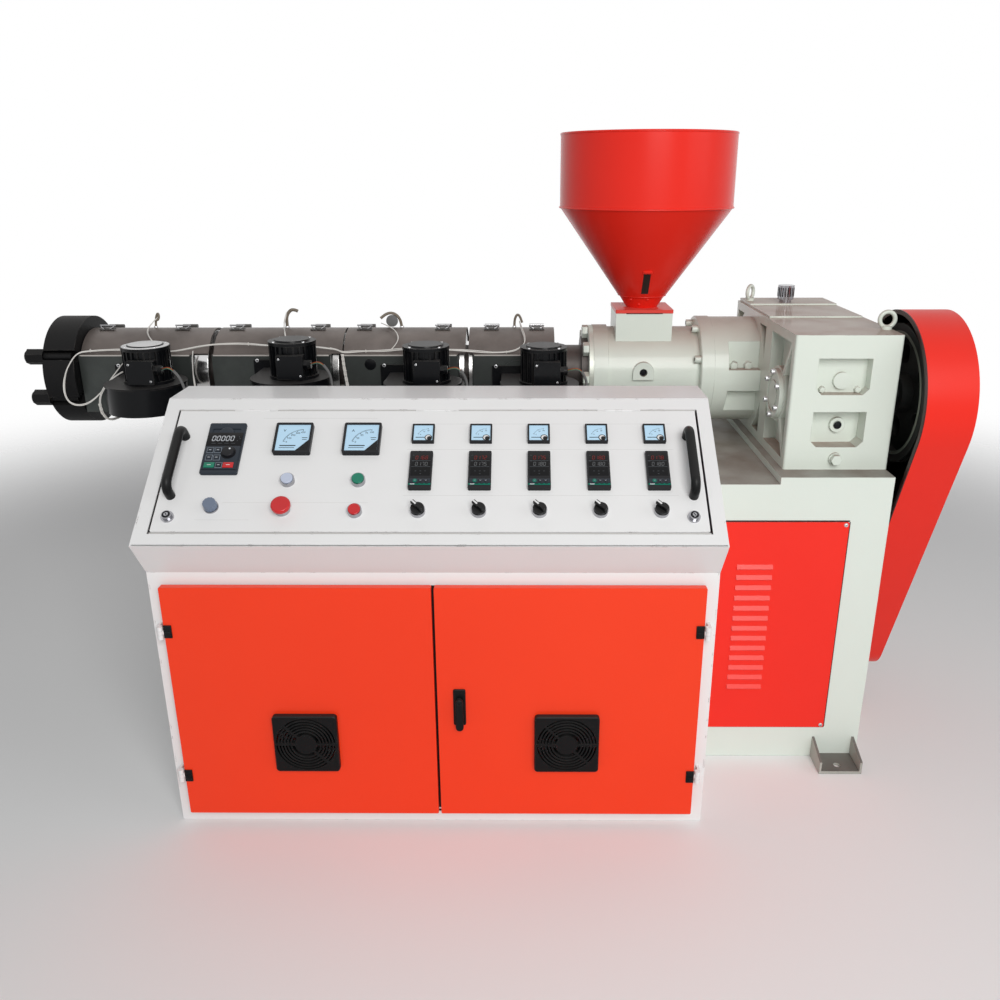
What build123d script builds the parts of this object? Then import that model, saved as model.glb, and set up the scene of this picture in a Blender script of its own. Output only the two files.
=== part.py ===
from build123d import *
import math
import os

os.makedirs("parts", exist_ok=True)

# A single-screw plastic extruder with its console. The floor point straight below the
# feed throat is the origin: X runs along the screw towards the drive end, Y runs away
# from the operator and Z is up. All sizes are in millimetres.

# Shared fits
fit_gap = 0.2
seat_gap = 0.05
control_gap = 0.5

# Console cabinet, of folded sheet
console_right = 96.0
console_width = 1200.0
console_front_y = -718.0
console_back_y = -346.0
nose_reach = 60.0
nose_z = 712.0
apron_z = 628.0
slope_top_y = -472.0
console_top_z = 941.0
console_floor_z = 30.0
sheet = 3.0
console_left = console_right - console_width
inner_left = console_left + sheet
inner_right = console_right - sheet
nose_y = console_front_y - nose_reach

# Doors, grilles, hinges and latch
door_side_margin = 28.0
door_meeting_gap = 6.0
door_bottom_z = 34.0
door_top_gap = 26.0
door_depth = 15.0
door_gap = 5.0
door_overlap = 14.0
door_sheet = 2.5
door_corner = 3.0
hinge_offset = 8.0
hinge_radius = 6.0
hinge_pin_radius = 3.0
hinge_knuckle = 10.0
hinge_inset = 104.0
grille_size = 142.0
grille_thickness = 13.0
grille_hole_radius = 66.0
grille_ring_pitch = 7.0
grille_ring_width = 3.0
grille_rise = 193.0
latch_inset = 48.0
latch_drop = 241.0
latch_length = 78.0
latch_width = 17.0
latch_offset = 3.0
latch_thickness = 9.0
latch_plate_width = 27.0
latch_plate_height = 89.0
latch_plate_thickness = 4.0
latch_lever_drop = 19.0
grille_shift = 2.0
door_width = (console_width - 2 * door_side_margin - door_meeting_gap) / 2
door_height = apron_z - door_bottom_z - door_top_gap
door_back_y = console_front_y - door_gap
door_front_y = door_back_y - door_depth
door_middle_z = door_bottom_z + door_height / 2
left_door_x = console_left + door_side_margin
right_door_x = console_right - door_side_margin - door_width
left_hinge_x = left_door_x - hinge_offset
right_hinge_x = right_door_x + door_width + hinge_offset
hinge_y = door_front_y - 2.0
hinge_heights = (door_bottom_z + hinge_inset, door_bottom_z + door_height - hinge_inset)
grille_z = door_bottom_z + grille_rise
left_grille_x = left_door_x + door_width / 2 - grille_shift
right_grille_x = right_door_x + door_width / 2 - grille_shift
latch_x = right_door_x + latch_inset
latch_plate_top_z = door_bottom_z + door_height - latch_drop
latch_top_z = latch_plate_top_z - latch_lever_drop
latch_face_y = door_front_y - latch_plate_thickness

# Sloping instrument panel, a lid hinged along its top edge
lid_margin = 34.0
lid_top_margin = 37.0
lid_gap = 5.0
lid_thickness = 3.0
lid_proud = 1.0
lid_pin_radius = 1.2
lid_knuckle_radius = 2.1
lid_knuckle_length = 60.0
lid_hinge_count = 3
slope_run = slope_top_y - nose_y
slope_rise = console_top_z - nose_z
slope_length = math.hypot(slope_run, slope_rise)
lid_width = console_width - 2 * lid_margin
lid_height = slope_length - lid_margin - lid_top_margin
lid_top_s = slope_length - lid_top_margin
lid_hinge_s = lid_top_s + lid_gap / 2
lid_knuckle_x = [console_width * (2 * index + 1) / (2 * lid_hinge_count) for index in range(lid_hinge_count)]

# Instruments: the places along the panel are shares of its width, and the places up
# its slope are measured from the nose
keypad_share = 0.1238
large_meter_shares = (0.2458, 0.3692)
column_first_share = 0.4783
column_pitch_share = 0.10367
emergency_share = 0.2467
reset_share = 0.2475
start_share = 0.3708
keypad_s = 239.5
keypad_width = 79.0
keypad_length = 134.0
keypad_height = 8.0
large_meter_s = 264.0
large_meter_size = 80.0
large_meter_height = 12.0
large_meter_can = 31.0
large_meter_depth = 42.0
column_count = 5
small_meter_s = 279.0
small_meter_size = 48.0
small_meter_depth = 45.0
controller_s = 182.0
controller_length = 96.0
controller_depth = 80.0
bezel_height = 9.0
knob_s = 82.0
knob_radius = 14.0
knob_height = 16.0
knob_bezel_radius = 15.5
knob_bezel_height = 10.0
speed_bezel_height = 4.0
speed_knob_height = 14.0
speed_knob_s = 92.0
emergency_s = 86.0
emergency_radius = 20.0
emergency_neck = 3.0
emergency_head = 9.0
emergency_base_height = 12.0
emergency_bezel_radius = 16.0
button_s = 157.0
stop_s = 81.0
button_radius = 12.5
button_bezel_radius = 15.0
button_bezel_height = 11.0
button_proud = 4.0
button_travel = 3.0
lock_inset = 64.0
lock_s = 68.0
lock_radius = 13.0
lock_height = 12.0
handle_inset = 59.0
handle_low_s = 120.0
handle_high_s = 273.0
handle_height = 38.0
handle_radius = 10.0
handle_bend = 20.0
keypad_at = (console_width * keypad_share, keypad_s)
large_meter_x = [console_width * share for share in large_meter_shares]
columns = [console_width * (column_first_share + index * column_pitch_share) for index in range(column_count)]
speed_knob_at = (console_width * keypad_share, speed_knob_s)
emergency_at = (console_width * emergency_share, emergency_s)
reset_at = (console_width * reset_share, button_s)
start_at = (console_width * start_share, button_s)
stop_at = (console_width * start_share, stop_s)

# Screw line: head clamp, barrel, feed section and thrust housing
screw_z = 912.0
head_x = -1556.0
head_clamp_width = 82.0
head_clamp_radius = 142.0
clamp_slot_width = 26.0
clamp_slot_depth = 30.0
clamp_slot_angle = 25.5
swing_bolt_radius = 11.0
swing_nut_flats = 36.0
swing_nut_length = 48.0
swing_tip = 4.0
barrel_radius = 63.0
barrel_bore_radius = 22.5
barrel_bore_depth = 80.0
feed_flange_x = -130.0
feed_flange_width = 38.0
feed_flange_radius = 117.5
feed_radius = 112.5
barrel_hub_radius = 86.0
barrel_hub_width = 19.0
barrel_flange_width = 11.0
barrel_flange_radius = 116.0
throat_width = 146.0
throat_depth = 146.0
throat_rise = 158.0
throat_radius = 35.0
port_radius = 27.0
port_reach = 121.0
port_hole_radius = 10.0
port_x = -2.0
port_rise = 12.0
port_drop = 19.0
thrust_left_x = 145.0
thrust_flange_radius = 140.0
thrust_flange_width = 34.0
thrust_radius = 138.0
thrust_flat = 104.0
thrust_pocket_width = 82.0
thrust_web_offset = 22.0
thrust_pocket_low = 33.0
throat_top_z = screw_z + throat_rise

# Heater jackets, from the head towards the feed section
jacket_radius = 110.0
jacket_lengths = (294.0, 309.0, 300.0, 213.0)
jacket_spaces = (54.0, 32.0, 38.0)
jacket_clearance = 2.0
jacket_recess = 4.0
cover_gaps = (13.0, 4.0, 8.0)
cover_lead = 12.0
lead_band_width = 11.0
band_widths = (38.0, 18.0, 14.0)
band_radius = 104.0
band_gap = 1.0
jacket_plate_top = 58.0
jacket_plate_bottom = 94.0
jacket_plate_sheet = 2.0
jacket_hinge_length = 40.0
jacket_hinge_width = 26.0
jacket_hinge_inset = 46.0
jacket_hinge_angle = 69.0
jacket_leaf = 2.0
jacket_knuckle_radius = 5.5
jacket_starts = [
    head_x + head_clamp_width + jacket_clearance + sum(jacket_lengths[:index]) + sum(jacket_spaces[:index])
    for index in range(4)
]
band_ends = [jacket_starts[index] + jacket_lengths[index] + band_gap + band_widths[index] for index in range(3)]
stand_room = jacket_spaces[1] - band_gap - band_widths[1]
cover_leads = (0.0, 0.0, cover_lead)
cover_runs = [
    (jacket_starts[index] + jacket_lengths[index], jacket_spaces[index] - cover_gaps[index] - cover_leads[index])
    for index in range(3)
] + [(jacket_starts[3] - cover_lead, cover_lead)]

# Blowers, one to a jacket
blower_offsets = (226.0, 241.0, 229.0, 181.0)
blower_lifts = (0.0, 13.0, 0.0, -3.0)
blower_reach = 113.0
volute_radius = 96.0
volute_shift = 10.0
volute_top = 13.0
volute_height = 70.0
volute_rim = 4.0
duct_width = 90.0
duct_shift = 61.0
motor_radius = 57.0
motor_height = 75.0
motor_foot_radius = 60.0
motor_foot_height = 7.0
motor_cap_radius = 58.0
motor_cap_height = 8.0
motor_disc_radius = 44.0
motor_fins = 24
motor_fin_depth = 5.0
motor_fin_width = 3.0
terminal_width = 64.0
terminal_height = 57.0
terminal_reach = 72.0
terminal_depth = 25.0
gland_radius = 11.0
gland_length = 18.0
gland_rise = 34.0
flange_width = 140.0
flange_height = 110.0
flange_sheet = 4.0
collar_radius = 56.0
collar_sheet = 3.0
collar_drop = 12.0
blower_xs = [start + offset for start, offset in zip(jacket_starts, blower_offsets)]

# Base, with the closed motor housing under the gearbox
base_gap = 15.0
base_width = 428.0
base_front_y = -468.0
base_back_y = 232.0
base_top_z = 737.0
pad_width = 261.0
pad_top_z = 754.0
beam_inset = 60.0
beam_height = 120.0
beam_rail = 80.0
stand_plate = 12.0
stand_drop = 15.0
stand_width = 60.0
stand_depth = 120.0
saddle_width = 160.0
saddle_thickness = 12.0
foot_width = 106.0
foot_depth = 75.0
foot_thickness = 8.0
foot_inset = 10.0
foot_rib = 6.0
foot_rib_height = 50.0
foot_rib_front = 25.0
foot_hole_radius = 9.0
foot_hole_inset = 26.0
cover_inset = 25.0
cover_width = 311.0
cover_bottom_z = 88.0
cover_height = 557.0
cover_sheet = 3.0
louvre_count = 13
louvre_pitch = 27.1
louvre_width = 85.0
louvre_inset = 57.0
louvre_first_z = 202.0
louvre_rise = 10.0
louvre_proud = 5.0
louvre_sheet = 1.5
base_left = console_right + base_gap
base_right = base_left + base_width
pad_left = base_right - pad_width

# Gearbox
gearbox_width = 244.0
gearbox_overhang = 2.0
gearbox_front_y = -409.0
gearbox_back_y = 180.0
gearbox_height = 316.0
gearbox_step = 4.0
gearbox_corner = 6.0
gearbox_step_y = (-150.0, 50.0)
gearbox_rim = 22.0
gearbox_recess = 30.0
gearbox_pillar = 60.0
gearbox_pillar_y = -182.0
gearbox_rib = 24.0
window_width = 122.0
window_inset = 57.0
upper_window_z = 933.0
upper_window_height = 84.0
upper_window_depth = 30.0
lower_window_z = 809.0
lower_window_height = 84.0
lower_window_depth = 45.0
window_chamfer = 14.0
window_boss = 8.0
window_boss_radius = 19.5
upper_boss_shift = 4.0
upper_boss_share = 0.34
lower_boss_shift = 10.5
lower_boss_share = 0.52
gearbox_right = base_right + gearbox_overhang
gearbox_left = gearbox_right - gearbox_width
gearbox_top_z = pad_top_z + gearbox_height
eye_ring_radius = 17.5
eye_wire_radius = 5.0
eye_collar_radius = 12.0
eye_collar_height = 8.0
eye_back_y = 115.0
eye_front_inset = 82.0
breather_inset = 107.0
breather_y = 82.0
breather_radius = 21.5
breather_neck_radius = 16.0
breather_neck_height = 8.0
breather_height = 46.0
eye_back_turn = 50.0
drain_radius = 15.0
drain_reach = 18.0

# Belt drive
input_y = -296.0
motor_y = -146.0
motor_z = 192.0
driven_radius = 166.0
driver_radius = 52.0
pulley_width = 70.0
pulley_gap = 40.0
shaft_radius = 24.0
shaft_clearance = 0.3
shaft_depth = 30.0
bearing_radius = 60.0
bearing_proud = 10.0
bearing_face_radius = 44.0
belt_count = 4
belt_pitch = 16.0
belt_top = 12.0
belt_bottom = 7.0
belt_depth = 8.0
belt_side_gap = 0.5
belt_floor_gap = 2.0
guard_gap = 20.0
guard_width = 115.0
guard_big_radius = 200.0
guard_small_radius = 88.0
guard_sheet = 2.5
guard_lip = 10.0
guard_shift = 20.0
web_depth = 26.0
web_rim = 22.0
web_hub_radius = 46.0
web_hole_radius = 24.0
bracket_radius = 4.5
input_z = screw_z
pulley_left = gearbox_right + pulley_gap
guard_left = gearbox_right + guard_gap
guard_right = guard_left + guard_width

# Hopper
hopper_radius = 220.0
hopper_side_height = 177.0
hopper_cone_height = 221.0
hopper_collar_height = 30.0
hopper_ring_radius = 63.0
hopper_neck_radius = 41.0
hopper_wall = 2.5
hopper_bead = 3.0
hopper_plate_width = 149.0
hopper_plate_depth = 149.0
hopper_plate_thickness = 9.0
sight_x = -2.0
sight_rise = 10.0
sight_width = 18.0
sight_height = 53.0
plate_top_z = throat_top_z + hopper_plate_thickness

panel = Plane(
    origin=(console_left, nose_y, nose_z),
    x_dir=(1, 0, 0),
    z_dir=(0, -slope_rise, slope_run),
)
lid_face = panel.offset(lid_proud)
lid_back = panel.offset(lid_proud - lid_thickness)
panel_normal = Axis((0, 0, 0), panel.z_dir)
parts = {}


# Console sheet metal: two side plates, one sheet bent into floor, back and top, and
# the frames in front of the doors and round the sloping panel
with BuildPart() as console_sides:
    for side_x in (console_left, inner_right):
        with BuildSketch(Plane.YZ.offset(side_x)):
            with BuildLine():
                Polyline(
                    (console_front_y, 0),
                    (console_front_y, apron_z),
                    (nose_y, nose_z),
                    (slope_top_y, console_top_z),
                    (console_back_y, console_top_z),
                    (console_back_y, 0),
                    close=True,
                )
            make_face()
        extrude(amount=sheet)
parts["console_sides"] = console_sides

with BuildPart() as console_wrap:
    with BuildSketch(Plane.YZ.offset(inner_left)):
        with BuildLine():
            Polyline(
                (console_back_y, 0),
                (console_back_y, console_top_z),
                (slope_top_y, console_top_z),
                (slope_top_y, console_top_z - sheet),
                (console_back_y - sheet, console_top_z - sheet),
                (console_back_y - sheet, console_floor_z),
                (console_front_y + sheet, console_floor_z),
                (console_front_y + sheet, console_floor_z - sheet),
                (console_back_y - sheet, console_floor_z - sheet),
                (console_back_y - sheet, 0),
                close=True,
            )
        make_face()
    extrude(amount=inner_right - inner_left)
parts["console_wrap"] = console_wrap

with BuildPart() as console_front:
    with BuildSketch(Plane.XZ.offset(-console_front_y)):
        with Locations(((inner_left + inner_right) / 2, apron_z / 2)):
            Rectangle(inner_right - inner_left, apron_z)
        for door_x in (left_door_x, right_door_x):
            with Locations((door_x + door_width / 2, door_middle_z)):
                Rectangle(door_width - 2 * door_overlap, door_height - 2 * door_overlap, mode=Mode.SUBTRACT)
    extrude(amount=-sheet)
parts["console_front"] = console_front

with BuildPart() as console_apron:
    with BuildSketch(Plane.YZ.offset(inner_left)):
        with BuildLine():
            Polyline(
                (console_front_y, apron_z),
                (nose_y, nose_z),
                (nose_y + 1.4 * sheet, nose_z),
                (console_front_y + sheet, apron_z + 0.4 * sheet),
                (console_front_y + sheet, apron_z),
                close=True,
            )
        make_face()
    extrude(amount=inner_right - inner_left)
parts["console_apron"] = console_apron

with BuildPart() as console_panel_frame:
    with BuildSketch(panel.offset(-sheet)):
        with Locations((console_width / 2, (slope_length + 1) / 2)):
            Rectangle(console_width - 2 * sheet, slope_length - 2 * sheet - 2)
        with Locations((console_width / 2, lid_margin + lid_height / 2)):
            Rectangle(lid_width + 2 * lid_gap, lid_height + 2 * lid_gap, mode=Mode.SUBTRACT)
    extrude(amount=sheet)
    for knuckle_x in lid_knuckle_x:
        for side in (-1, 1):
            lug_x = knuckle_x + side * (lid_knuckle_length / 2 + 9)
            with Locations(panel * Location((lug_x, lid_hinge_s + lid_gap / 4 + 0.5, -sheet / 2))):
                Box(16, lid_gap / 2 + 3, sheet)
        with Locations(panel * Location((knuckle_x, lid_hinge_s, 0), (0, 90, 0))):
            Cylinder(lid_pin_radius, lid_knuckle_length + 30)
parts["console_panel_frame"] = console_panel_frame

# Doors: folded trays with a round vent, turning on a knuckle at each height
for name, door_x, axis_x, vent_x, side in (
    ("door_left", left_door_x, left_hinge_x, left_grille_x, -1),
    ("door_right", right_door_x, right_hinge_x, right_grille_x, 1),
):
    with BuildPart() as door:
        with BuildSketch(Plane.XZ.offset(-door_back_y)):
            with Locations((door_x + door_width / 2, door_middle_z)):
                RectangleRounded(door_width, door_height, door_corner)
        extrude(amount=door_depth)
        with BuildSketch(Plane.XZ.offset(-door_back_y)):
            with Locations((door_x + door_width / 2, door_middle_z)):
                RectangleRounded(door_width - 2 * door_sheet, door_height - 2 * door_sheet, 1)
        extrude(amount=door_depth - door_sheet, mode=Mode.SUBTRACT)
        with BuildSketch(Plane.XZ.offset(-door_back_y)):
            with Locations((vent_x, grille_z)):
                Circle(grille_hole_radius)
        extrude(amount=door_depth, mode=Mode.SUBTRACT)
        for height in hinge_heights:
            with BuildSketch(Plane.XY.offset(height - hinge_knuckle / 2 + control_gap)):
                with Locations((axis_x, hinge_y)):
                    Circle(hinge_radius)
                with Locations((axis_x - side * (hinge_offset + 8) / 2, door_front_y - 1)):
                    Rectangle(hinge_offset + 8, 2.5)
                with Locations((axis_x, hinge_y)):
                    Circle(hinge_pin_radius + fit_gap, mode=Mode.SUBTRACT)
            extrude(amount=hinge_knuckle - 2 * control_gap)
    parts[name] = door

for name, vent_x in (("grille_left", left_grille_x), ("grille_right", right_grille_x)):
    with BuildPart() as grille:
        with BuildSketch(Plane.XZ.offset(-door_front_y)):
            with Locations((vent_x, grille_z)):
                RectangleRounded(grille_size, grille_size, 8)
                Circle(grille_hole_radius, mode=Mode.SUBTRACT)
                for ring in range(1, 6):
                    Circle(grille_hole_radius - grille_ring_pitch * ring + grille_ring_width)
                    Circle(grille_hole_radius - grille_ring_pitch * ring, mode=Mode.SUBTRACT)
                Circle(grille_hole_radius - 6 * grille_ring_pitch)
                with Locations(Rotation(0, 0, 0), Rotation(0, 0, -45)):
                    Rectangle(2 * grille_hole_radius + 4, 5)
        extrude(amount=grille_thickness)
        chamfer(grille.faces().sort_by(Axis.Y)[0].outer_wire().edges(), 2)
    parts[name] = grille

with BuildPart() as door_hinges:
    for axis_x, side in ((left_hinge_x, -1), (right_hinge_x, 1)):
        for height in hinge_heights:
            for step in (-1, 1):
                with BuildSketch(Plane.XY.offset(height + step * hinge_knuckle - hinge_knuckle / 2)):
                    with Locations((axis_x, hinge_y)):
                        Circle(hinge_radius)
                    with Locations((axis_x + side * hinge_radius / 2, (hinge_y + console_front_y) / 2)):
                        Rectangle(hinge_radius, console_front_y - hinge_y)
                extrude(amount=hinge_knuckle)
            with Locations((axis_x, hinge_y, height)):
                Cylinder(hinge_pin_radius, hinge_knuckle + 2)
parts["door_hinges"] = door_hinges

with BuildPart() as latch_plate:
    with BuildSketch(Plane.XZ.offset(-door_front_y)):
        with Locations((latch_x, latch_plate_top_z - latch_plate_height / 2)):
            RectangleRounded(latch_plate_width, latch_plate_height, 4)
    extrude(amount=latch_plate_thickness)
    chamfer(latch_plate.faces().sort_by(Axis.Y)[0].edges(), 1)
parts["latch_plate"] = latch_plate

with BuildPart() as door_latch:
    with BuildSketch(Plane.XZ.offset(-latch_face_y + control_gap)):
        with Locations((latch_x, latch_top_z - latch_width / 2)):
            Circle(latch_width / 2 - 1)
    extrude(amount=latch_offset)
    with BuildSketch(Plane.XZ.offset(-latch_face_y + control_gap + latch_offset)):
        with Locations((latch_x, latch_top_z - latch_length / 2)):
            SlotOverall(latch_length, latch_width, rotation=90)
    extrude(amount=latch_thickness)
    fillet(door_latch.faces().sort_by(Axis.Y)[0].edges(), 2)
    with BuildSketch(Plane.XZ.offset(-latch_face_y + control_gap + latch_offset + latch_thickness - 1)):
        with Locations((latch_x, latch_top_z - latch_width / 2)):
            Circle(latch_width / 4)
    extrude(amount=1, mode=Mode.SUBTRACT)
parts["door_latch"] = door_latch

# Instrument panel lid, cut for everything that passes through it
with BuildPart() as instrument_panel:
    with BuildSketch(lid_back):
        with Locations((console_width / 2, lid_margin + lid_height / 2)):
            RectangleRounded(lid_width, lid_height, door_corner)
        for meter_x in large_meter_x:
            with Locations((meter_x, large_meter_s)):
                Circle(large_meter_can, mode=Mode.SUBTRACT)
        for column_x in columns:
            with Locations((column_x, small_meter_s)):
                Rectangle(small_meter_size - 4, small_meter_size - 4, mode=Mode.SUBTRACT)
            with Locations((column_x, controller_s)):
                Rectangle(small_meter_size - 4, controller_length - 6, mode=Mode.SUBTRACT)
    extrude(amount=lid_thickness)
    for knuckle_x in lid_knuckle_x:
        with Locations(panel * Location((knuckle_x, lid_hinge_s, 0), (0, 90, 0))):
            Cylinder(lid_knuckle_radius, lid_knuckle_length)
        with Locations(panel * Location((knuckle_x, lid_hinge_s - lid_gap / 3, 0))):
            Box(lid_knuckle_length, lid_gap / 2 + 1, lid_thickness / 2)
        with Locations(panel * Location((knuckle_x, lid_hinge_s, 0), (0, 90, 0))):
            Cylinder(lid_pin_radius + fit_gap, lid_knuckle_length, mode=Mode.SUBTRACT)
parts["instrument_panel"] = instrument_panel

with BuildPart() as drive_keypad:
    with BuildSketch(lid_face):
        with Locations(keypad_at):
            RectangleRounded(keypad_width, keypad_length, 4)
    extrude(amount=keypad_height)
    chamfer(drive_keypad.faces().sort_by(panel_normal)[-1].edges(), 1.5)
    with BuildSketch(lid_face.offset(keypad_height)):
        with Locations((keypad_at[0], keypad_at[1] + keypad_length * 0.28)):
            RectangleRounded(keypad_width - 18, 26, 2)
    extrude(amount=-2, mode=Mode.SUBTRACT)
    with BuildSketch(lid_face.offset(keypad_height)):
        with Locations((keypad_at[0] + 18, keypad_at[1] - 6)):
            Circle(13)
        with Locations((keypad_at[0] - 17, keypad_at[1] - 12)):
            with GridLocations(17, 13, 2, 3):
                RectangleRounded(13, 8, 2)
        with Locations((keypad_at[0], keypad_at[1] - 44)):
            with GridLocations(34, 10, 2, 1):
                RectangleRounded(18, 10, 3)
    extrude(amount=1.5)
parts["drive_keypad"] = drive_keypad

with BuildPart() as large_meters:
    for meter_x in large_meter_x:
        with BuildSketch(lid_face):
            with Locations((meter_x, large_meter_s)):
                RectangleRounded(large_meter_size, large_meter_size, 4)
        extrude(amount=large_meter_height)
        with BuildSketch(lid_face):
            with Locations((meter_x, large_meter_s)):
                Circle(large_meter_can - fit_gap)
        extrude(amount=-large_meter_depth)
        with BuildSketch(lid_face.offset(large_meter_height)):
            with Locations((meter_x, large_meter_s)):
                RectangleRounded(large_meter_size - 10, large_meter_size - 10, 2)
        extrude(amount=-2.5, mode=Mode.SUBTRACT)
parts["large_meters"] = large_meters

with BuildPart() as small_meters:
    for column_x in columns:
        with BuildSketch(lid_face):
            with Locations((column_x, small_meter_s)):
                RectangleRounded(small_meter_size, small_meter_size, 2)
        extrude(amount=bezel_height)
        with BuildSketch(lid_face):
            with Locations((column_x, small_meter_s)):
                Rectangle(small_meter_size - 5, small_meter_size - 5)
        extrude(amount=-small_meter_depth)
        with BuildSketch(lid_face.offset(bezel_height)):
            with Locations((column_x, small_meter_s)):
                RectangleRounded(small_meter_size - 7, small_meter_size - 7, 1)
        extrude(amount=-2, mode=Mode.SUBTRACT)
parts["small_meters"] = small_meters

with BuildPart() as temperature_controllers:
    for column_x in columns:
        with BuildSketch(lid_face):
            with Locations((column_x, controller_s)):
                RectangleRounded(small_meter_size, controller_length, 3)
        extrude(amount=bezel_height)
        with BuildSketch(lid_face):
            with Locations((column_x, controller_s)):
                Rectangle(small_meter_size - 5, controller_length - 7)
        extrude(amount=-controller_depth)
        with BuildSketch(lid_face.offset(bezel_height)):
            with Locations((column_x, controller_s + 13)):
                RectangleRounded(small_meter_size - 8, controller_length - 38, 2)
        extrude(amount=-1.5, mode=Mode.SUBTRACT)
        with BuildSketch(lid_face.offset(bezel_height)):
            with Locations((column_x, controller_s - 34)):
                with GridLocations(10, 10, 4, 1):
                    RectangleRounded(7, 6, 1)
        extrude(amount=1)
parts["temperature_controllers"] = temperature_controllers

with BuildPart() as control_bezels:
    for place, radius, height in [((column_x, knob_s), knob_bezel_radius, knob_bezel_height) for column_x in columns] + [
        (speed_knob_at, knob_bezel_radius, speed_bezel_height),
        (emergency_at, emergency_bezel_radius, emergency_base_height),
    ]:
        with BuildSketch(lid_face):
            with Locations(place):
                Circle(radius)
        extrude(amount=height)
    for place in (reset_at, start_at, stop_at):
        with BuildSketch(lid_face):
            with Locations(place):
                Circle(button_bezel_radius)
                Circle(button_radius + control_gap, mode=Mode.SUBTRACT)
        extrude(amount=button_bezel_height)
    for place in ((lock_inset, lock_s), (console_width - lock_inset, lock_s)):
        with BuildSketch(lid_face):
            with Locations(place):
                Circle(lock_radius)
        extrude(amount=lock_height * 0.4)
        with BuildSketch(lid_face):
            with Locations(place):
                Circle(lock_radius * 0.75)
        extrude(amount=lock_height)
parts["control_bezels"] = control_bezels

with BuildPart() as panel_handles:
    for grip_x in (handle_inset, console_width - handle_inset):
        with BuildLine() as grip_path:
            FilletPolyline(
                (panel * Location((grip_x, handle_low_s, lid_proud))).position,
                (panel * Location((grip_x, handle_low_s, handle_height))).position,
                (panel * Location((grip_x, handle_high_s, handle_height))).position,
                (panel * Location((grip_x, handle_high_s, lid_proud))).position,
                radius=handle_bend,
            )
        with BuildSketch(Plane(origin=grip_path.line @ 0, z_dir=grip_path.line % 0)):
            Circle(handle_radius)
        sweep(path=grip_path.line)
parts["panel_handles"] = panel_handles

# Turning and pressing controls
for index, column_x in enumerate(columns):
    with BuildPart() as knob:
        with BuildSketch(lid_face.offset(knob_bezel_height + control_gap)):
            with Locations((column_x, knob_s)):
                Circle(knob_radius)
        extrude(amount=knob_height / 3)
        with BuildSketch(lid_face.offset(knob_bezel_height + control_gap + knob_height / 3)):
            with Locations((column_x, knob_s)):
                RectangleRounded(7, 2 * knob_radius - 1, 3, rotation=45)
        extrude(amount=knob_height * 2 / 3, taper=3)
    parts["selector_knob_" + str(index + 1)] = knob

with BuildPart() as speed_knob:
    with BuildSketch(lid_face.offset(speed_bezel_height + control_gap)):
        with Locations(speed_knob_at):
            Circle(knob_radius)
            with PolarLocations(knob_radius + 0.6, 12):
                Circle(1.4, mode=Mode.SUBTRACT)
    extrude(amount=speed_knob_height, taper=3)
parts["speed_knob"] = speed_knob

with BuildPart() as emergency_stop:
    with BuildSketch(lid_face.offset(emergency_base_height + control_gap)):
        with Locations(emergency_at):
            Circle(emergency_bezel_radius - 4)
    extrude(amount=emergency_neck)
    with BuildSketch(lid_face.offset(emergency_base_height + control_gap + emergency_neck)):
        with Locations(emergency_at):
            Circle(emergency_radius)
    extrude(amount=emergency_head)
    fillet(emergency_stop.faces().sort_by(panel_normal)[-1].edges(), 4)
parts["emergency_stop"] = emergency_stop

for name, place in (("reset_button", reset_at), ("start_button", start_at), ("stop_button", stop_at)):
    with BuildPart() as button:
        with BuildSketch(lid_face.offset(button_travel + control_gap)):
            with Locations(place):
                Circle(button_radius)
        extrude(amount=button_bezel_height + button_proud - button_travel - control_gap)
        chamfer(button.faces().sort_by(panel_normal)[-1].edges(), 1)
    parts[name] = button

# Base: closed motor housing with a raised pad, and the low beam that carries the barrel
with BuildPart() as base_pedestal:
    with BuildSketch(Plane.XZ.offset(-base_back_y)):
        with BuildLine():
            Polyline(
                (base_left, 0),
                (base_right, 0),
                (base_right, pad_top_z),
                (pad_left, pad_top_z),
                (pad_left, base_top_z),
                (base_left, base_top_z),
                close=True,
            )
        make_face()
    extrude(amount=base_back_y - base_front_y)
    with Locations((base_right, motor_y, motor_z)):
        Cylinder(shaft_radius + shaft_clearance, 2 * shaft_depth + 10, rotation=(0, 90, 0), mode=Mode.SUBTRACT)
parts["base_pedestal"] = base_pedestal

# Low welded frame of rails, with cross pieces under the barrel's stand
beam_left = console_left + beam_inset
beam_middle_y = (console_back_y + base_back_y) / 2
beam_depth = base_back_y - console_back_y
stand_x = band_ends[1] + stand_room / 2
with BuildPart() as base_beam:
    with BuildSketch(Plane.XY):
        with Locations(((beam_left + base_left) / 2, beam_middle_y)):
            Rectangle(base_left - beam_left, beam_depth)
        for bay_left, bay_right in (
            (beam_left + beam_rail, stand_x - stand_width - beam_rail / 2),
            (stand_x + stand_width + beam_rail / 2, base_left - beam_rail),
        ):
            with Locations(((bay_left + bay_right) / 2, beam_middle_y)):
                Rectangle(bay_right - bay_left, beam_depth - 2 * beam_rail, mode=Mode.SUBTRACT)
    extrude(amount=beam_height)
parts["base_beam"] = base_beam


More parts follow.
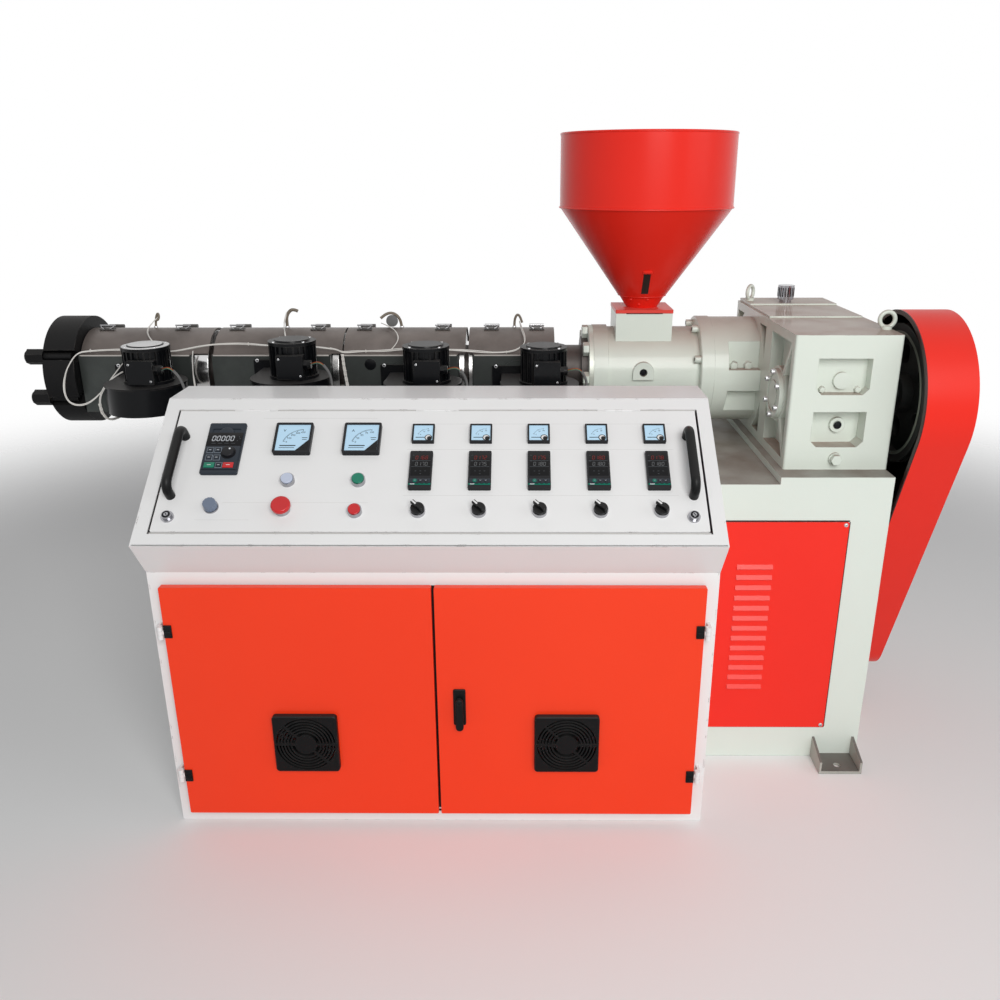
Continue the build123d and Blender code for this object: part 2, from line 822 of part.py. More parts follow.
post_top_z = screw_z - jacket_radius - stand_drop
with BuildPart() as barrel_stand:
    with Locations((stand_x, 0, beam_height + stand_plate / 2)):
        Box(2 * stand_width, 2 * stand_depth + stand_plate, stand_plate)
    with Locations((stand_x, 0, (beam_height + stand_plate + post_top_z) / 2)):
        Box(stand_width, stand_depth, post_top_z - beam_height - stand_plate)
    with BuildSketch(Plane.YZ.offset(stand_x - saddle_thickness / 2)):
        with Locations((0, (post_top_z + screw_z - barrel_radius / 2) / 2)):
            Rectangle(saddle_width, screw_z - barrel_radius / 2 - post_top_z)
        with Locations((0, screw_z)):
            Circle(barrel_radius + fit_gap, mode=Mode.SUBTRACT)
    extrude(amount=saddle_thickness)
parts["barrel_stand"] = barrel_stand

foot_places = (
    (base_right - foot_inset - foot_width / 2, base_front_y, 0),
    (base_right - foot_inset - foot_width / 2, base_back_y, 180),
    (beam_left, console_back_y + foot_inset + foot_width / 2, -90),
    (beam_left, base_back_y - foot_inset - foot_width / 2, -90),
)
with BuildPart() as foot:
    with Locations((0, -foot_depth / 2, foot_thickness / 2)):
        Box(foot_width, foot_depth, foot_thickness)
    with Locations((0, foot_hole_inset - foot_depth, 0)):
        Cylinder(foot_hole_radius, 3 * foot_thickness, mode=Mode.SUBTRACT)
    for rib_x in (-foot_width / 2, foot_width / 2 - foot_rib):
        with BuildSketch(Plane.YZ.offset(rib_x)):
            with BuildLine():
                Polyline(
                    (0, foot_thickness),
                    (0, foot_thickness + foot_rib_height),
                    (-foot_depth, foot_thickness + foot_rib_front),
                    (-foot_depth, foot_thickness),
                    close=True,
                )
            make_face()
        extrude(amount=foot_rib)
with BuildPart() as foot_plates:
    for foot_x, foot_y, turn in foot_places:
        add(foot.part.moved(Location((foot_x, foot_y, 0), (0, 0, turn))))
parts["foot_plates"] = foot_plates

# Louvred cover: each louvre is a scoop pressed out of the sheet above its slot
cover_left = base_left + cover_inset
cover_face_y = base_front_y - cover_sheet
louvre_left = cover_left + louvre_inset
with BuildPart() as louvred_cover:
    with BuildSketch(Plane.XZ.offset(-base_front_y)):
        with Locations((cover_left + cover_width / 2, cover_bottom_z + cover_height / 2)):
            RectangleRounded(cover_width, cover_height, 4)
    extrude(amount=cover_sheet)
    for louvre in range(louvre_count):
        low_z = louvre_first_z + louvre * louvre_pitch
        with BuildSketch(Plane.YZ.offset(louvre_left)):
            with BuildLine():
                Polyline(
                    (cover_face_y, low_z),
                    (cover_face_y - louvre_proud, low_z),
                    (cover_face_y, low_z + louvre_rise),
                    close=True,
                )
            make_face()
        extrude(amount=louvre_width)
        with BuildSketch(Plane.YZ.offset(louvre_left + louvre_sheet)):
            with BuildLine():
                Polyline(
                    (base_front_y, low_z - louvre_sheet),
                    (cover_face_y - louvre_proud + louvre_sheet, low_z - louvre_sheet),
                    (base_front_y, low_z + louvre_rise - 2 * louvre_sheet),
                    close=True,
                )
            make_face()
        extrude(amount=louvre_width - 2 * louvre_sheet, mode=Mode.SUBTRACT)
parts["louvred_cover"] = louvred_cover

# Gearbox: a cast case, stepped along its top, with two sunk windows in front and a
# ribbed recess in each side
with BuildPart() as gearbox_housing:
    with BuildSketch(Plane.XY.offset(pad_top_z)):
        with Locations(((gearbox_left + gearbox_right) / 2, (gearbox_front_y + gearbox_back_y) / 2)):
            RectangleRounded(gearbox_width, gearbox_back_y - gearbox_front_y, gearbox_corner)
    extrude(amount=gearbox_height)
    for index, step_y in enumerate(gearbox_step_y):
        with BuildSketch(Plane.XY.offset(gearbox_top_z + index * gearbox_step)):
            with Locations(((gearbox_left + gearbox_right) / 2, (step_y + gearbox_back_y - gearbox_corner) / 2)):
                Rectangle(gearbox_width - 2 * gearbox_corner, gearbox_back_y - gearbox_corner - step_y)
        extrude(amount=gearbox_step)
    for face_x, depth in ((gearbox_left, gearbox_recess), (gearbox_right, -gearbox_recess)):
        with BuildSketch(Plane.YZ.offset(face_x)):
            with Locations(((gearbox_front_y + gearbox_back_y) / 2, pad_top_z + gearbox_height / 2)):
                Rectangle(
                    gearbox_back_y - gearbox_front_y - 2 * gearbox_rim,
                    gearbox_height - 2 * gearbox_rim,
                )
            with Locations((gearbox_pillar_y, pad_top_z + gearbox_height / 2)):
                Rectangle(gearbox_pillar, gearbox_height, mode=Mode.SUBTRACT)
            with Locations((0, screw_z)):
                Circle(thrust_radius + gearbox_rib, mode=Mode.SUBTRACT)
            with Locations((input_y, input_z)):
                Circle(bearing_radius + 6, mode=Mode.SUBTRACT)
            for rib_angle in (124, 236):
                with Locations(Pos(input_y, input_z) * Rotation(0, 0, rib_angle) * Pos(gearbox_height / 3, 0)):
                    Rectangle(gearbox_height / 1.5, gearbox_rib / 2, mode=Mode.SUBTRACT)
        extrude(amount=depth, mode=Mode.SUBTRACT)
    for low_z, height, depth in (
        (upper_window_z, upper_window_height, upper_window_depth),
        (lower_window_z, lower_window_height, lower_window_depth),
    ):
        with BuildSketch(Plane.XZ.offset(-gearbox_front_y)):
            with Locations((gearbox_left + window_inset + window_width / 2, low_z + height / 2)):
                Rectangle(window_width, height)
            chamfer(vertices().group_by(Axis.Y)[0], window_chamfer)
        extrude(amount=-depth, mode=Mode.SUBTRACT)
    boss_x = gearbox_left + window_inset + window_width / 2
    with Locations(
        (
            boss_x + upper_boss_shift,
            gearbox_front_y + upper_window_depth - window_boss / 2,
            upper_window_z + upper_window_height * upper_boss_share,
        )
    ):
        Cylinder(window_boss_radius, window_boss, rotation=(90, 0, 0))
    with Locations(
        (
            boss_x + lower_boss_shift,
            gearbox_front_y + lower_window_depth - window_boss / 2,
            lower_window_z + lower_window_height * lower_boss_share,
        )
    ):
        Cylinder(window_boss_radius - 1.5, window_boss, rotation=(90, 0, 0))
        Cylinder(window_boss_radius / 2, window_boss, rotation=(90, 0, 0), mode=Mode.SUBTRACT)
    with Locations((gearbox_right, input_y, input_z)):
        Cylinder(bearing_radius, 2 * bearing_proud, rotation=(0, 90, 0))
        Cylinder(shaft_radius + shaft_clearance, 2 * shaft_depth + 10, rotation=(0, 90, 0), mode=Mode.SUBTRACT)
parts["gearbox_housing"] = gearbox_housing

with BuildPart() as bearing_cover:
    with BuildSketch(Plane.YZ.offset(gearbox_left)):
        with Locations((input_y, input_z)):
            Circle(bearing_radius)
    extrude(amount=-bearing_proud)
    fillet(bearing_cover.faces().sort_by(Axis.X)[0].edges(), 2)
    with BuildSketch(Plane.YZ.offset(gearbox_left - bearing_proud)):
        with Locations((input_y, input_z)):
            Circle(bearing_face_radius)
            Circle(bearing_face_radius - 12, mode=Mode.SUBTRACT)
    extrude(amount=2, mode=Mode.SUBTRACT)
parts["bearing_cover"] = bearing_cover

with BuildPart() as gearbox_fittings:
    for eye_x, eye_y, seat_z, turn in (
        (gearbox_left + 1.5 * eye_collar_radius, eye_back_y, gearbox_top_z + 2 * gearbox_step, eye_back_turn),
        (gearbox_right - 1.1 * eye_collar_radius, gearbox_front_y + eye_front_inset, gearbox_top_z, 0),
    ):
        with Locations((eye_x, eye_y, seat_z + eye_collar_height / 2)):
            Cylinder(eye_collar_radius, eye_collar_height)
        ring_height = seat_z + eye_ring_radius + eye_wire_radius
        with Locations(Pos(eye_x, eye_y, ring_height) * Rotation(0, 0, turn) * Rotation(90, 0, 0)):
            Torus(eye_ring_radius, eye_wire_radius)
    with BuildSketch(Plane.XZ.offset(-gearbox_front_y)):
        with Locations((boss_x, (pad_top_z + lower_window_z) / 2)):
            Circle(drain_radius)
    extrude(amount=drain_reach / 3)
    with BuildSketch(Plane.XZ.offset(-gearbox_front_y + drain_reach / 3)):
        with Locations((boss_x, (pad_top_z + lower_window_z) / 2)):
            RegularPolygon(drain_radius - 2, 6)
    extrude(amount=drain_reach * 2 / 3)
parts["gearbox_fittings"] = gearbox_fittings

breather_seat_z = gearbox_top_z + 2 * gearbox_step
with BuildPart() as gearbox_breather:
    with BuildSketch(Plane.XY.offset(breather_seat_z)):
        with Locations((gearbox_left + breather_inset, breather_y)):
            Circle(breather_neck_radius)
    extrude(amount=breather_neck_height)
    with BuildSketch(Plane.XY.offset(breather_seat_z + breather_neck_height)):
        with Locations((gearbox_left + breather_inset, breather_y)):
            Circle(breather_radius)
            with PolarLocations(breather_radius + 0.6, 16):
                Circle(2.0, mode=Mode.SUBTRACT)
    extrude(amount=breather_height - breather_neck_height)
    chamfer(gearbox_breather.faces().sort_by(Axis.Z)[-1].edges(), 1)
parts["gearbox_breather"] = gearbox_breather

# Thrust housing: a flange and a barrel-shaped case, cut flat in two pockets on each side
with BuildPart() as thrust_housing:
    with BuildSketch(Plane.YZ.offset(thrust_left_x)):
        with Locations((0, screw_z)):
            Circle(thrust_flange_radius)
    extrude(amount=thrust_flange_width)
    with BuildSketch(Plane.YZ.offset(thrust_left_x + thrust_flange_width)):
        with Locations((0, screw_z)):
            Circle(thrust_radius)
    extrude(amount=gearbox_left - thrust_left_x - thrust_flange_width)
    chamfer(thrust_housing.faces().sort_by(Axis.X)[0].edges(), 2)
    for side in (-1, 1):
        for low_z, high_z in (
            (screw_z + thrust_web_offset, screw_z + thrust_radius),
            (screw_z - thrust_radius, screw_z - thrust_pocket_low),
        ):
            with BuildSketch(Plane.XZ.offset(-side * thrust_flat)):
                with Locations((gearbox_left - thrust_pocket_width / 2, (low_z + high_z) / 2)):
                    Rectangle(thrust_pocket_width, high_z - low_z)
            extrude(amount=-side * thrust_radius, mode=Mode.SUBTRACT)
parts["thrust_housing"] = thrust_housing

with BuildPart() as feed_section:
    for radius, width in ((feed_flange_radius, feed_flange_width), (feed_radius, thrust_left_x - feed_flange_x)):
        with BuildSketch(Plane.YZ.offset(feed_flange_x)):
            with Locations((0, screw_z)):
                Circle(radius)
        extrude(amount=width)
    with Locations((0, 0, (screw_z + throat_top_z) / 2)):
        Box(throat_width, throat_depth, throat_top_z - screw_z)
    with BuildSketch(Plane.XZ.offset(port_reach)):
        with Locations((port_x, screw_z + port_rise)):
            Circle(port_radius)
        with Locations((port_x, screw_z + port_rise)):
            Rectangle(2 * port_radius, port_radius + 2, align=(Align.CENTER, Align.MAX), mode=Mode.SUBTRACT)
        with Locations((port_x, screw_z + port_rise)):
            Rectangle(2 * port_radius, port_drop, align=(Align.CENTER, Align.MAX))
    extrude(amount=-port_reach / 3)
    with Locations((port_x, -port_reach, screw_z + port_rise)):
        Cylinder(port_hole_radius, port_reach / 4, rotation=(90, 0, 0), mode=Mode.SUBTRACT)
    with Locations((0, 0, screw_z)):
        Cylinder(throat_radius, throat_top_z - screw_z + 10, align=(Align.CENTER, Align.CENTER, Align.MIN), mode=Mode.SUBTRACT)
parts["feed_section"] = feed_section

with BuildPart() as hopper_base:
    with BuildSketch(Plane.XY.offset(throat_top_z)):
        RectangleRounded(hopper_plate_width, hopper_plate_depth, 2)
        Circle(throat_radius, mode=Mode.SUBTRACT)
    extrude(amount=hopper_plate_thickness)
parts["hopper_base"] = hopper_base

# Hopper: one spun shell of collar, cone and cylinder, with a beaded rim and a slot for
# the sight window. The collar sits inside the cone's lower edge.
slope = (hopper_radius - hopper_ring_radius) / hopper_cone_height
shell = hopper_wall * math.hypot(1, slope)
ring_z = plate_top_z + hopper_collar_height
shoulder_z = ring_z + hopper_cone_height
hopper_top_z = shoulder_z + hopper_side_height
with BuildPart() as hopper:
    with BuildSketch(Plane.XZ):
        with BuildLine():
            Polyline(
                (hopper_neck_radius, plate_top_z),
                (hopper_ring_radius - hopper_wall, ring_z),
                (hopper_ring_radius, ring_z),
                (hopper_radius, shoulder_z),
                (hopper_radius, hopper_top_z),
                (hopper_radius - hopper_wall, hopper_top_z),
                (hopper_radius - hopper_wall, shoulder_z + hopper_wall / 2),
                (hopper_ring_radius - 2 * hopper_wall, ring_z),
                (hopper_neck_radius - hopper_wall, plate_top_z),
                close=True,
            )
        make_face()
        with Locations((hopper_radius - hopper_bead / 2, hopper_top_z - hopper_bead)):
            Circle(hopper_bead)
        with Locations((hopper_radius, shoulder_z)):
            Circle(hopper_wall)
    revolve(axis=Axis.Z)
    with Locations((sight_x, -hopper_ring_radius, ring_z + sight_rise + sight_height / 2)):
        Box(sight_width, 2 * hopper_ring_radius, sight_height, mode=Mode.SUBTRACT)
parts["hopper"] = hopper

# Sight window: a pane of the cone's own slope, set in the slot
with BuildPart() as hopper_window:
    with BuildSketch(Plane.XZ):
        with BuildLine():
            Polyline(
                (hopper_ring_radius - shell, ring_z),
                (hopper_ring_radius, ring_z),
                (hopper_radius, shoulder_z),
                (hopper_radius - shell, shoulder_z),
                close=True,
            )
        make_face()
    revolve(axis=Axis.Z)
    with Locations((sight_x, -hopper_ring_radius, ring_z + sight_rise + sight_height / 2)):
        Box(sight_width - fit_gap, 2 * hopper_ring_radius, sight_height - fit_gap, mode=Mode.INTERSECT)
parts["hopper_window"] = hopper_window

# Barrel and head
with BuildPart() as barrel:
    for start, width, radius in (
        (head_x, feed_flange_x - head_x, barrel_radius),
        (feed_flange_x - barrel_flange_width, barrel_flange_width, barrel_flange_radius),
        (feed_flange_x - barrel_flange_width - barrel_hub_width, barrel_hub_width, barrel_hub_radius),
    ):
        with BuildSketch(Plane.YZ.offset(start)):
            with Locations((0, screw_z)):
                Circle(radius)
        extrude(amount=width)
    with BuildSketch(Plane.YZ.offset(head_x)):
        with Locations((0, screw_z)):
            Circle(barrel_bore_radius)
    extrude(amount=barrel_bore_depth, mode=Mode.SUBTRACT)
    chamfer(barrel.faces().sort_by(Axis.X)[0].edges(), 2)
parts["barrel"] = barrel

swing_radius = head_clamp_radius - clamp_slot_depth + clamp_slot_width / 2
swing_angles = [side + sign * clamp_slot_angle for side in (0, 180) for sign in (-1, 1)]
with BuildPart() as head_clamp:
    with BuildSketch(Plane.YZ.offset(head_x)):
        with Locations((0, screw_z)):
            Circle(head_clamp_radius)
            Circle(barrel_radius, mode=Mode.SUBTRACT)
        for angle in swing_angles:
            with Locations(Pos(0, screw_z) * Rotation(0, 0, angle) * Pos(swing_radius, 0)):
                Circle(clamp_slot_width / 2, mode=Mode.SUBTRACT)
            with Locations(Pos(0, screw_z) * Rotation(0, 0, angle) * Pos(swing_radius, 0)):
                Rectangle(
                    clamp_slot_depth,
                    clamp_slot_width,
                    align=(Align.MIN, Align.CENTER),
                    mode=Mode.SUBTRACT,
                )
    extrude(amount=head_clamp_width)
    chamfer(head_clamp.faces().sort_by(Axis.X)[0].outer_wire().edges(), 1.5)
    with Locations((head_x + head_clamp_width * 0.8, 0, screw_z + head_clamp_radius)):
        Cylinder(4, 20, mode=Mode.SUBTRACT)
parts["head_clamp"] = head_clamp

# Swing bolts: a round shank in each slot and a long hexagon standing out of the face
with BuildPart() as head_rods:
    for angle in swing_angles:
        with BuildSketch(Plane.YZ.offset(head_x)):
            with Locations(Pos(0, screw_z) * Rotation(0, 0, angle) * Pos(swing_radius, 0)):
                Circle(swing_bolt_radius)
        extrude(amount=head_clamp_width - swing_bolt_radius)
        with BuildSketch(Plane.YZ.offset(head_x)):
            with Locations(Pos(0, screw_z) * Rotation(0, 0, angle) * Pos(swing_radius, 0)):
                RegularPolygon(swing_nut_flats / 2, 6, major_radius=False)
        extrude(amount=-(swing_nut_length - swing_tip))
        with BuildSketch(Plane.YZ.offset(head_x - swing_nut_length + swing_tip)):
            with Locations(Pos(0, screw_z) * Rotation(0, 0, angle) * Pos(swing_radius, 0)):
                Circle(swing_nut_flats / 2 - 1)
        extrude(amount=-swing_tip, taper=30)
parts["head_rods"] = head_rods

# Heater jackets: sheet shells round the barrel, boxed out in front for the blowers, and
# hinged along the top
with BuildPart() as heater_jackets:
    for start, length in zip(jacket_starts, jacket_lengths):
        with BuildSketch(Plane.YZ.offset(start)):
            with Locations((0, screw_z)):
                Circle(jacket_radius)
            with Locations((-jacket_radius / 2, screw_z + (jacket_plate_top - jacket_plate_bottom) / 2)):
                Rectangle(jacket_radius, jacket_plate_top + jacket_plate_bottom)
            with Locations((0, screw_z)):
                Circle(barrel_radius, mode=Mode.SUBTRACT)
            with Locations(Pos(0, screw_z) * Rotation(0, 0, jacket_hinge_angle) * Pos(jacket_radius, 0)):
                Rectangle(2 * jacket_plate_sheet, jacket_plate_sheet, mode=Mode.SUBTRACT)
            with Locations(Pos(0, screw_z) * Rotation(0, 0, -90) * Pos(jacket_radius, 0)):
                Rectangle(4 * jacket_plate_sheet, 2 * jacket_plate_sheet, mode=Mode.SUBTRACT)
        extrude(amount=length)
        for end_x, depth in ((start, jacket_recess), (start + length, -jacket_recess)):
            with BuildSketch(Plane.YZ.offset(end_x)):
                with Locations((0, screw_z)):
                    Circle(jacket_radius - 2 * jacket_plate_sheet)
                    Circle(barrel_radius + 3 * jacket_plate_sheet, mode=Mode.SUBTRACT)
            extrude(amount=depth, mode=Mode.SUBTRACT)
    for start, reach in cover_runs:
        with BuildSketch(Plane.YZ.offset(start)):
            with Locations((0, screw_z)):
                Circle(jacket_radius)
                Circle(jacket_radius - 2 * jacket_plate_sheet, mode=Mode.SUBTRACT)
            with Locations((0, screw_z + jacket_plate_top)):
                Rectangle(
                    4 * jacket_radius,
                    2 * jacket_radius,
                    align=(Align.CENTER, Align.MAX),
                    mode=Mode.SUBTRACT,
                )
        extrude(amount=reach)
parts["heater_jackets"] = heater_jackets

with BuildPart() as jacket_hinges:
    for start, length in zip(jacket_starts, jacket_lengths):
        for hinge_x in (start + jacket_hinge_inset, start + length - jacket_hinge_inset):
            with BuildSketch(Plane.YZ.offset(hinge_x - jacket_hinge_length / 2)):
                with Locations((0, screw_z)):
                    Circle(jacket_radius + jacket_leaf)
                    Circle(jacket_radius, mode=Mode.SUBTRACT)
                with Locations(Pos(0, screw_z) * Rotation(0, 0, jacket_hinge_angle) * Pos(jacket_radius, 0)):
                    Rectangle(jacket_hinge_width, jacket_hinge_width, mode=Mode.INTERSECT)
                with Locations(Pos(0, screw_z) * Rotation(0, 0, jacket_hinge_angle) * Pos(jacket_radius + jacket_knuckle_radius + 0.5, 0)):
                    Circle(jacket_knuckle_radius)
            extrude(amount=jacket_hinge_length)
parts["jacket_hinges"] = jacket_hinges

with BuildPart() as barrel_bands:
    for end, width in list(zip(band_ends, band_widths)) + [(jacket_starts[3] - band_gap, lead_band_width)]:
        with BuildSketch(Plane.YZ.offset(end - width)):
            with Locations((0, screw_z)):
                Circle(band_radius)
                Circle(barrel_radius, mode=Mode.SUBTRACT)
        extrude(amount=width)
    fillet(barrel_bands.edges().filter_by(GeomType.CIRCLE).group_by(SortBy.RADIUS)[-1], 1.5)
parts["barrel_bands"] = barrel_bands

# Blowers: each has a volute whose outlet meets a flange on the jacket's front plate, a
# finned motor with a turned cap, and a terminal box with a cable gland
blower_y = -jacket_radius - blower_reach
volute_z = [screw_z + volute_top + lift for lift in blower_lifts]
flange_y = -jacket_radius - collar_sheet
with BuildPart() as outlet_collars:
    for blower_x in blower_xs:
        with BuildSketch(Plane.XZ.offset(jacket_radius)):
            with Locations((blower_x - duct_shift, screw_z - collar_drop)):
                Circle(collar_radius)
        extrude(amount=collar_sheet)
parts["outlet_collars"] = outlet_collars

with BuildPart() as blower_brackets:
    for blower_x, top_z in zip(blower_xs, volute_z):
        middle_z = top_z - volute_height / 2
        with BuildSketch(Plane.XZ.offset(-flange_y)):
            with Locations((blower_x - duct_shift, middle_z)):
                Rectangle(flange_width, flange_height)
        extrude(amount=flange_sheet)
parts["blower_brackets"] = blower_brackets

with BuildPart() as blower_volutes:
    for blower_x, top_z in zip(blower_xs, volute_z):
        with BuildSketch(Plane.XY.offset(top_z - volute_height)):
            with Locations((blower_x - volute_shift, blower_y)):
                Circle(volute_radius)
            with Locations((blower_x - duct_shift, (blower_y + flange_y - flange_sheet) / 2)):
                Rectangle(duct_width, flange_y - flange_sheet - blower_y)
        extrude(amount=volute_height)
        with BuildSketch(Plane.XY.offset(top_z - volute_rim)):
            with Locations((blower_x - volute_shift, blower_y)):
                Circle(volute_radius + volute_rim / 2)
        extrude(amount=volute_rim)
        with BuildSketch(Plane.XY.offset(top_z - volute_height)):
            with Locations((blower_x - volute_shift, blower_y)):
                Circle(volute_radius * 0.6)
        extrude(amount=volute_rim, mode=Mode.SUBTRACT)
parts["blower_volutes"] = blower_volutes

with BuildPart() as blower_motors:
    for blower_x, top_z in zip(blower_xs, volute_z):
        body_z = top_z + motor_foot_height
        with BuildSketch(Plane.XY.offset(top_z)):
            with Locations((blower_x, blower_y)):
                Circle(motor_foot_radius)
        extrude(amount=motor_foot_height)
        with BuildSketch(Plane.XY.offset(body_z)):
            with Locations((blower_x, blower_y)):
                Circle(motor_radius - motor_fin_depth)
                with PolarLocations(motor_radius - motor_fin_depth, motor_fins):
                    Rectangle(2 * motor_fin_depth, motor_fin_width)
        extrude(amount=motor_height)
        with BuildSketch(Plane.XY.offset(body_z + motor_height)):
            with Locations((blower_x, blower_y)):
                Circle(motor_cap_radius)
        extrude(amount=motor_cap_height)
        with BuildSketch(Plane.XY.offset(body_z + motor_height + motor_cap_height)):
            with Locations((blower_x, blower_y)):
                Circle(motor_disc_radius)
        extrude(amount=motor_cap_height / 2, taper=20)
parts["blower_motors"] = blower_motors

with BuildPart() as terminal_boxes:
    for blower_x, top_z in zip(blower_xs, volute_z):
        body_z = top_z + motor_foot_height
        box_y = blower_y - terminal_reach
        with BuildSketch(Plane.XZ.offset(-box_y)):
            with Locations((blower_x + motor_foot_height, body_z + terminal_height / 2)):
                RectangleRounded(terminal_width, terminal_height, 3)
        extrude(amount=-(terminal_reach - motor_radius + terminal_depth))
        with Locations((blower_x, blower_y, body_z + terminal_height / 2)):
            Cylinder(motor_radius + seat_gap, terminal_height + 10, mode=Mode.SUBTRACT)
        gland_x = blower_x + motor_foot_height + terminal_width / 2
        gland_z = body_z + gland_rise
        with BuildSketch(Plane.YZ.offset(gland_x)):
            with Locations((box_y + gland_radius + 3, gland_z)):
                RegularPolygon(gland_radius, 6)
        extrude(amount=gland_length / 2)
        with BuildSketch(Plane.YZ.offset(gland_x + gland_length / 2)):
            with Locations((box_y + gland_radius + 3, gland_z)):
                Circle(gland_radius - 1)
        extrude(amount=gland_length / 2)
        fillet(terminal_boxes.faces().sort_by(Axis.X)[-1].edges(), 1)
parts["terminal_boxes"] = terminal_boxes

# Belt drive: every loop is two straight runs tangent to a large and a small circle


def loop_points(big, small, inset):
    """Tangent points and arc middles of a loop round two circles, drawn in by inset."""
    span = math.dist(big[:2], small[:2])
    along = ((small[0] - big[0]) / span, (small[1] - big[1]) / span)
    lean_angle = math.acos((big[2] - small[2]) / span)
    big_r = big[2] - inset
    small_r = small[2] - inset
    touch = []
    for turn in (-lean_angle, lean_angle):
        out_y = along[0] * math.cos(turn) - along[1] * math.sin(turn)
        out_z = along[0] * math.sin(turn) + along[1] * math.cos(turn)
        touch.append((big[0] + big_r * out_y, big[1] + big_r * out_z))
        touch.append((small[0] + small_r * out_y, small[1] + small_r * out_z))
    crown = (big[0] - big_r * along[0], big[1] - big_r * along[1])
    toe = (small[0] + small_r * along[0], small[1] + small_r * along[1])
    return touch[0], touch[1], toe, touch[3], touch[2], crown


guard_big = (input_y - guard_shift, input_z, guard_big_radius)
guard_small = (motor_y, motor_z, guard_small_radius)
with BuildPart() as belt_guard:
    for inset, start, depth, mode in (
        (0, guard_left, guard_width, Mode.ADD),
        (guard_sheet, guard_left + guard_sheet, guard_width - 2 * guard_sheet, Mode.SUBTRACT),
        (guard_lip, guard_left - 1, guard_sheet + 2, Mode.SUBTRACT),
    ):
        loop = loop_points(guard_big, guard_small, inset)
        with BuildSketch(Plane.YZ.offset(start)):
            with BuildLine():
                Line(loop[0], loop[1])
                ThreePointArc(loop[1], loop[2], loop[3])
                Line(loop[3], loop[4])
                ThreePointArc(loop[4], loop[5], loop[0])
            make_face()
        extrude(amount=depth, mode=mode)
parts["belt_guard"] = belt_guard

with BuildPart() as guard_brackets:
    for angle in (0, 45):
        reach = guard_big[2] - guard_lip / 2
        place_y = guard_big[0] + reach * math.cos(math.radians(angle))
        place_z = guard_big[1] + reach * math.sin(math.radians(angle))
        with Locations(((gearbox_right + guard_left) / 2, place_y, place_z)):
            Cylinder(bracket_radius, guard_left - gearbox_right, rotation=(0, 90, 0))
    for side in (-1, 1):
        place_y = guard_small[0] + side * (guard_small[2] - guard_lip / 2)
        with Locations(((base_right + guard_left) / 2, place_y, guard_small[1])):
            Cylinder(bracket_radius, guard_left - base_right, rotation=(0, 90, 0))
parts["guard_brackets"] = guard_brackets

groove_centres = [pulley_width / 2 + (index - (belt_count - 1) / 2) * belt_pitch for index in range(belt_count)]
for name, centre_y, centre_z, radius, inner_x in (
    ("driven_pulley", input_y, input_z, driven_radius, gearbox_right),
    ("motor_pulley", motor_y, motor_z, driver_radius, base_right),
):
    with BuildPart() as pulley:
        with BuildSketch(Plane.XZ.offset(-centre_y)):
            with Locations((pulley_left + pulley_width / 2, centre_z + radius / 2)):
                Rectangle(pulley_width, radius)
            for groove in groove_centres:
                groove_x = pulley_left + groove
                with BuildLine():
                    Polyline(
                        (groove_x - belt_top / 2 - belt_side_gap, centre_z + radius + 1),
                        (groove_x - belt_top / 2 - belt_side_gap, centre_z + radius),
                        (groove_x - belt_bottom / 2 - belt_side_gap, centre_z + radius - belt_depth - belt_floor_gap),
                        (groove_x + belt_bottom / 2 + belt_side_gap, centre_z + radius - belt_depth - belt_floor_gap),
                        (groove_x + belt_top / 2 + belt_side_gap, centre_z + radius),
                        (groove_x + belt_top / 2 + belt_side_gap, centre_z + radius + 1),
                        close=True,
                    )
                make_face(mode=Mode.SUBTRACT)
        revolve(axis=Axis((pulley_left, centre_y, centre_z), (1, 0, 0)))
        if radius > 2 * driver_radius:
            for face_x, depth in ((pulley_left, web_depth), (pulley_left + pulley_width, -web_depth)):
                with BuildSketch(Plane.YZ.offset(face_x)):
                    with Locations((centre_y, centre_z)):
                        Circle(radius - web_rim)
                        Circle(web_hub_radius, mode=Mode.SUBTRACT)
                extrude(amount=depth, mode=Mode.SUBTRACT)
            with BuildSketch(Plane.YZ.offset(pulley_left)):
                with Locations((centre_y, centre_z)):
                    with PolarLocations((radius - web_rim + web_hub_radius) / 2, 5):
                        Circle(web_hole_radius)
            extrude(amount=pulley_width, mode=Mode.SUBTRACT)
        with BuildSketch(Plane.YZ.offset(inner_x - shaft_depth)):
            with Locations((centre_y, centre_z)):
                Circle(shaft_radius)
        extrude(amount=pulley_left - inner_x + shaft_depth)
    parts[name] = pulley

# V-belts: a wedge section carried round the two pulleys
ring = loop_points((input_y, input_z, driven_radius), (motor_y, motor_z, driver_radius), 0.0)
outward = (ring[0][0] - input_y, ring[0][1] - input_z)
tangent = (ring[1][0] - ring[0][0], ring[1][1] - ring[0][1])
with BuildPart() as drive_belts:
    for groove in groove_centres:
        belt_x = pulley_left + groove
        with BuildLine(Plane.YZ.offset(belt_x)) as belt_path:
            Line(ring[0], ring[1])
            ThreePointArc(ring[1], ring[2], ring[3])
            Line(ring[3], ring[4])
            ThreePointArc(ring[4], ring[5], ring[0])
        start = Plane(
            origin=(belt_x, ring[0][0], ring[0][1]),
            x_dir=(1, 0, 0),
            z_dir=(0, tangent[0], tangent[1]),
        )
        side = 1 if start.y_dir.Y * outward[0] + start.y_dir.Z * outward[1] > 0 else -1
        with BuildSketch(start):
            with BuildLine():
                Polyline(
                    (-belt_top / 2, 0),
                    (-belt_bottom / 2, -side * belt_depth),
                    (belt_bottom / 2, -side * belt_depth),
                    (belt_top / 2, 0),
                    close=True,
                )
            make_face()
        sweep(path=belt_path.wire())
parts["drive_belts"] = drive_belts

for name, piece in parts.items():
    piece.part.label = name
    export_step(piece.part, "parts/" + name + ".step")
    print(name, len(piece.part.solids()), round(piece.part.volume / 1e6, 3))
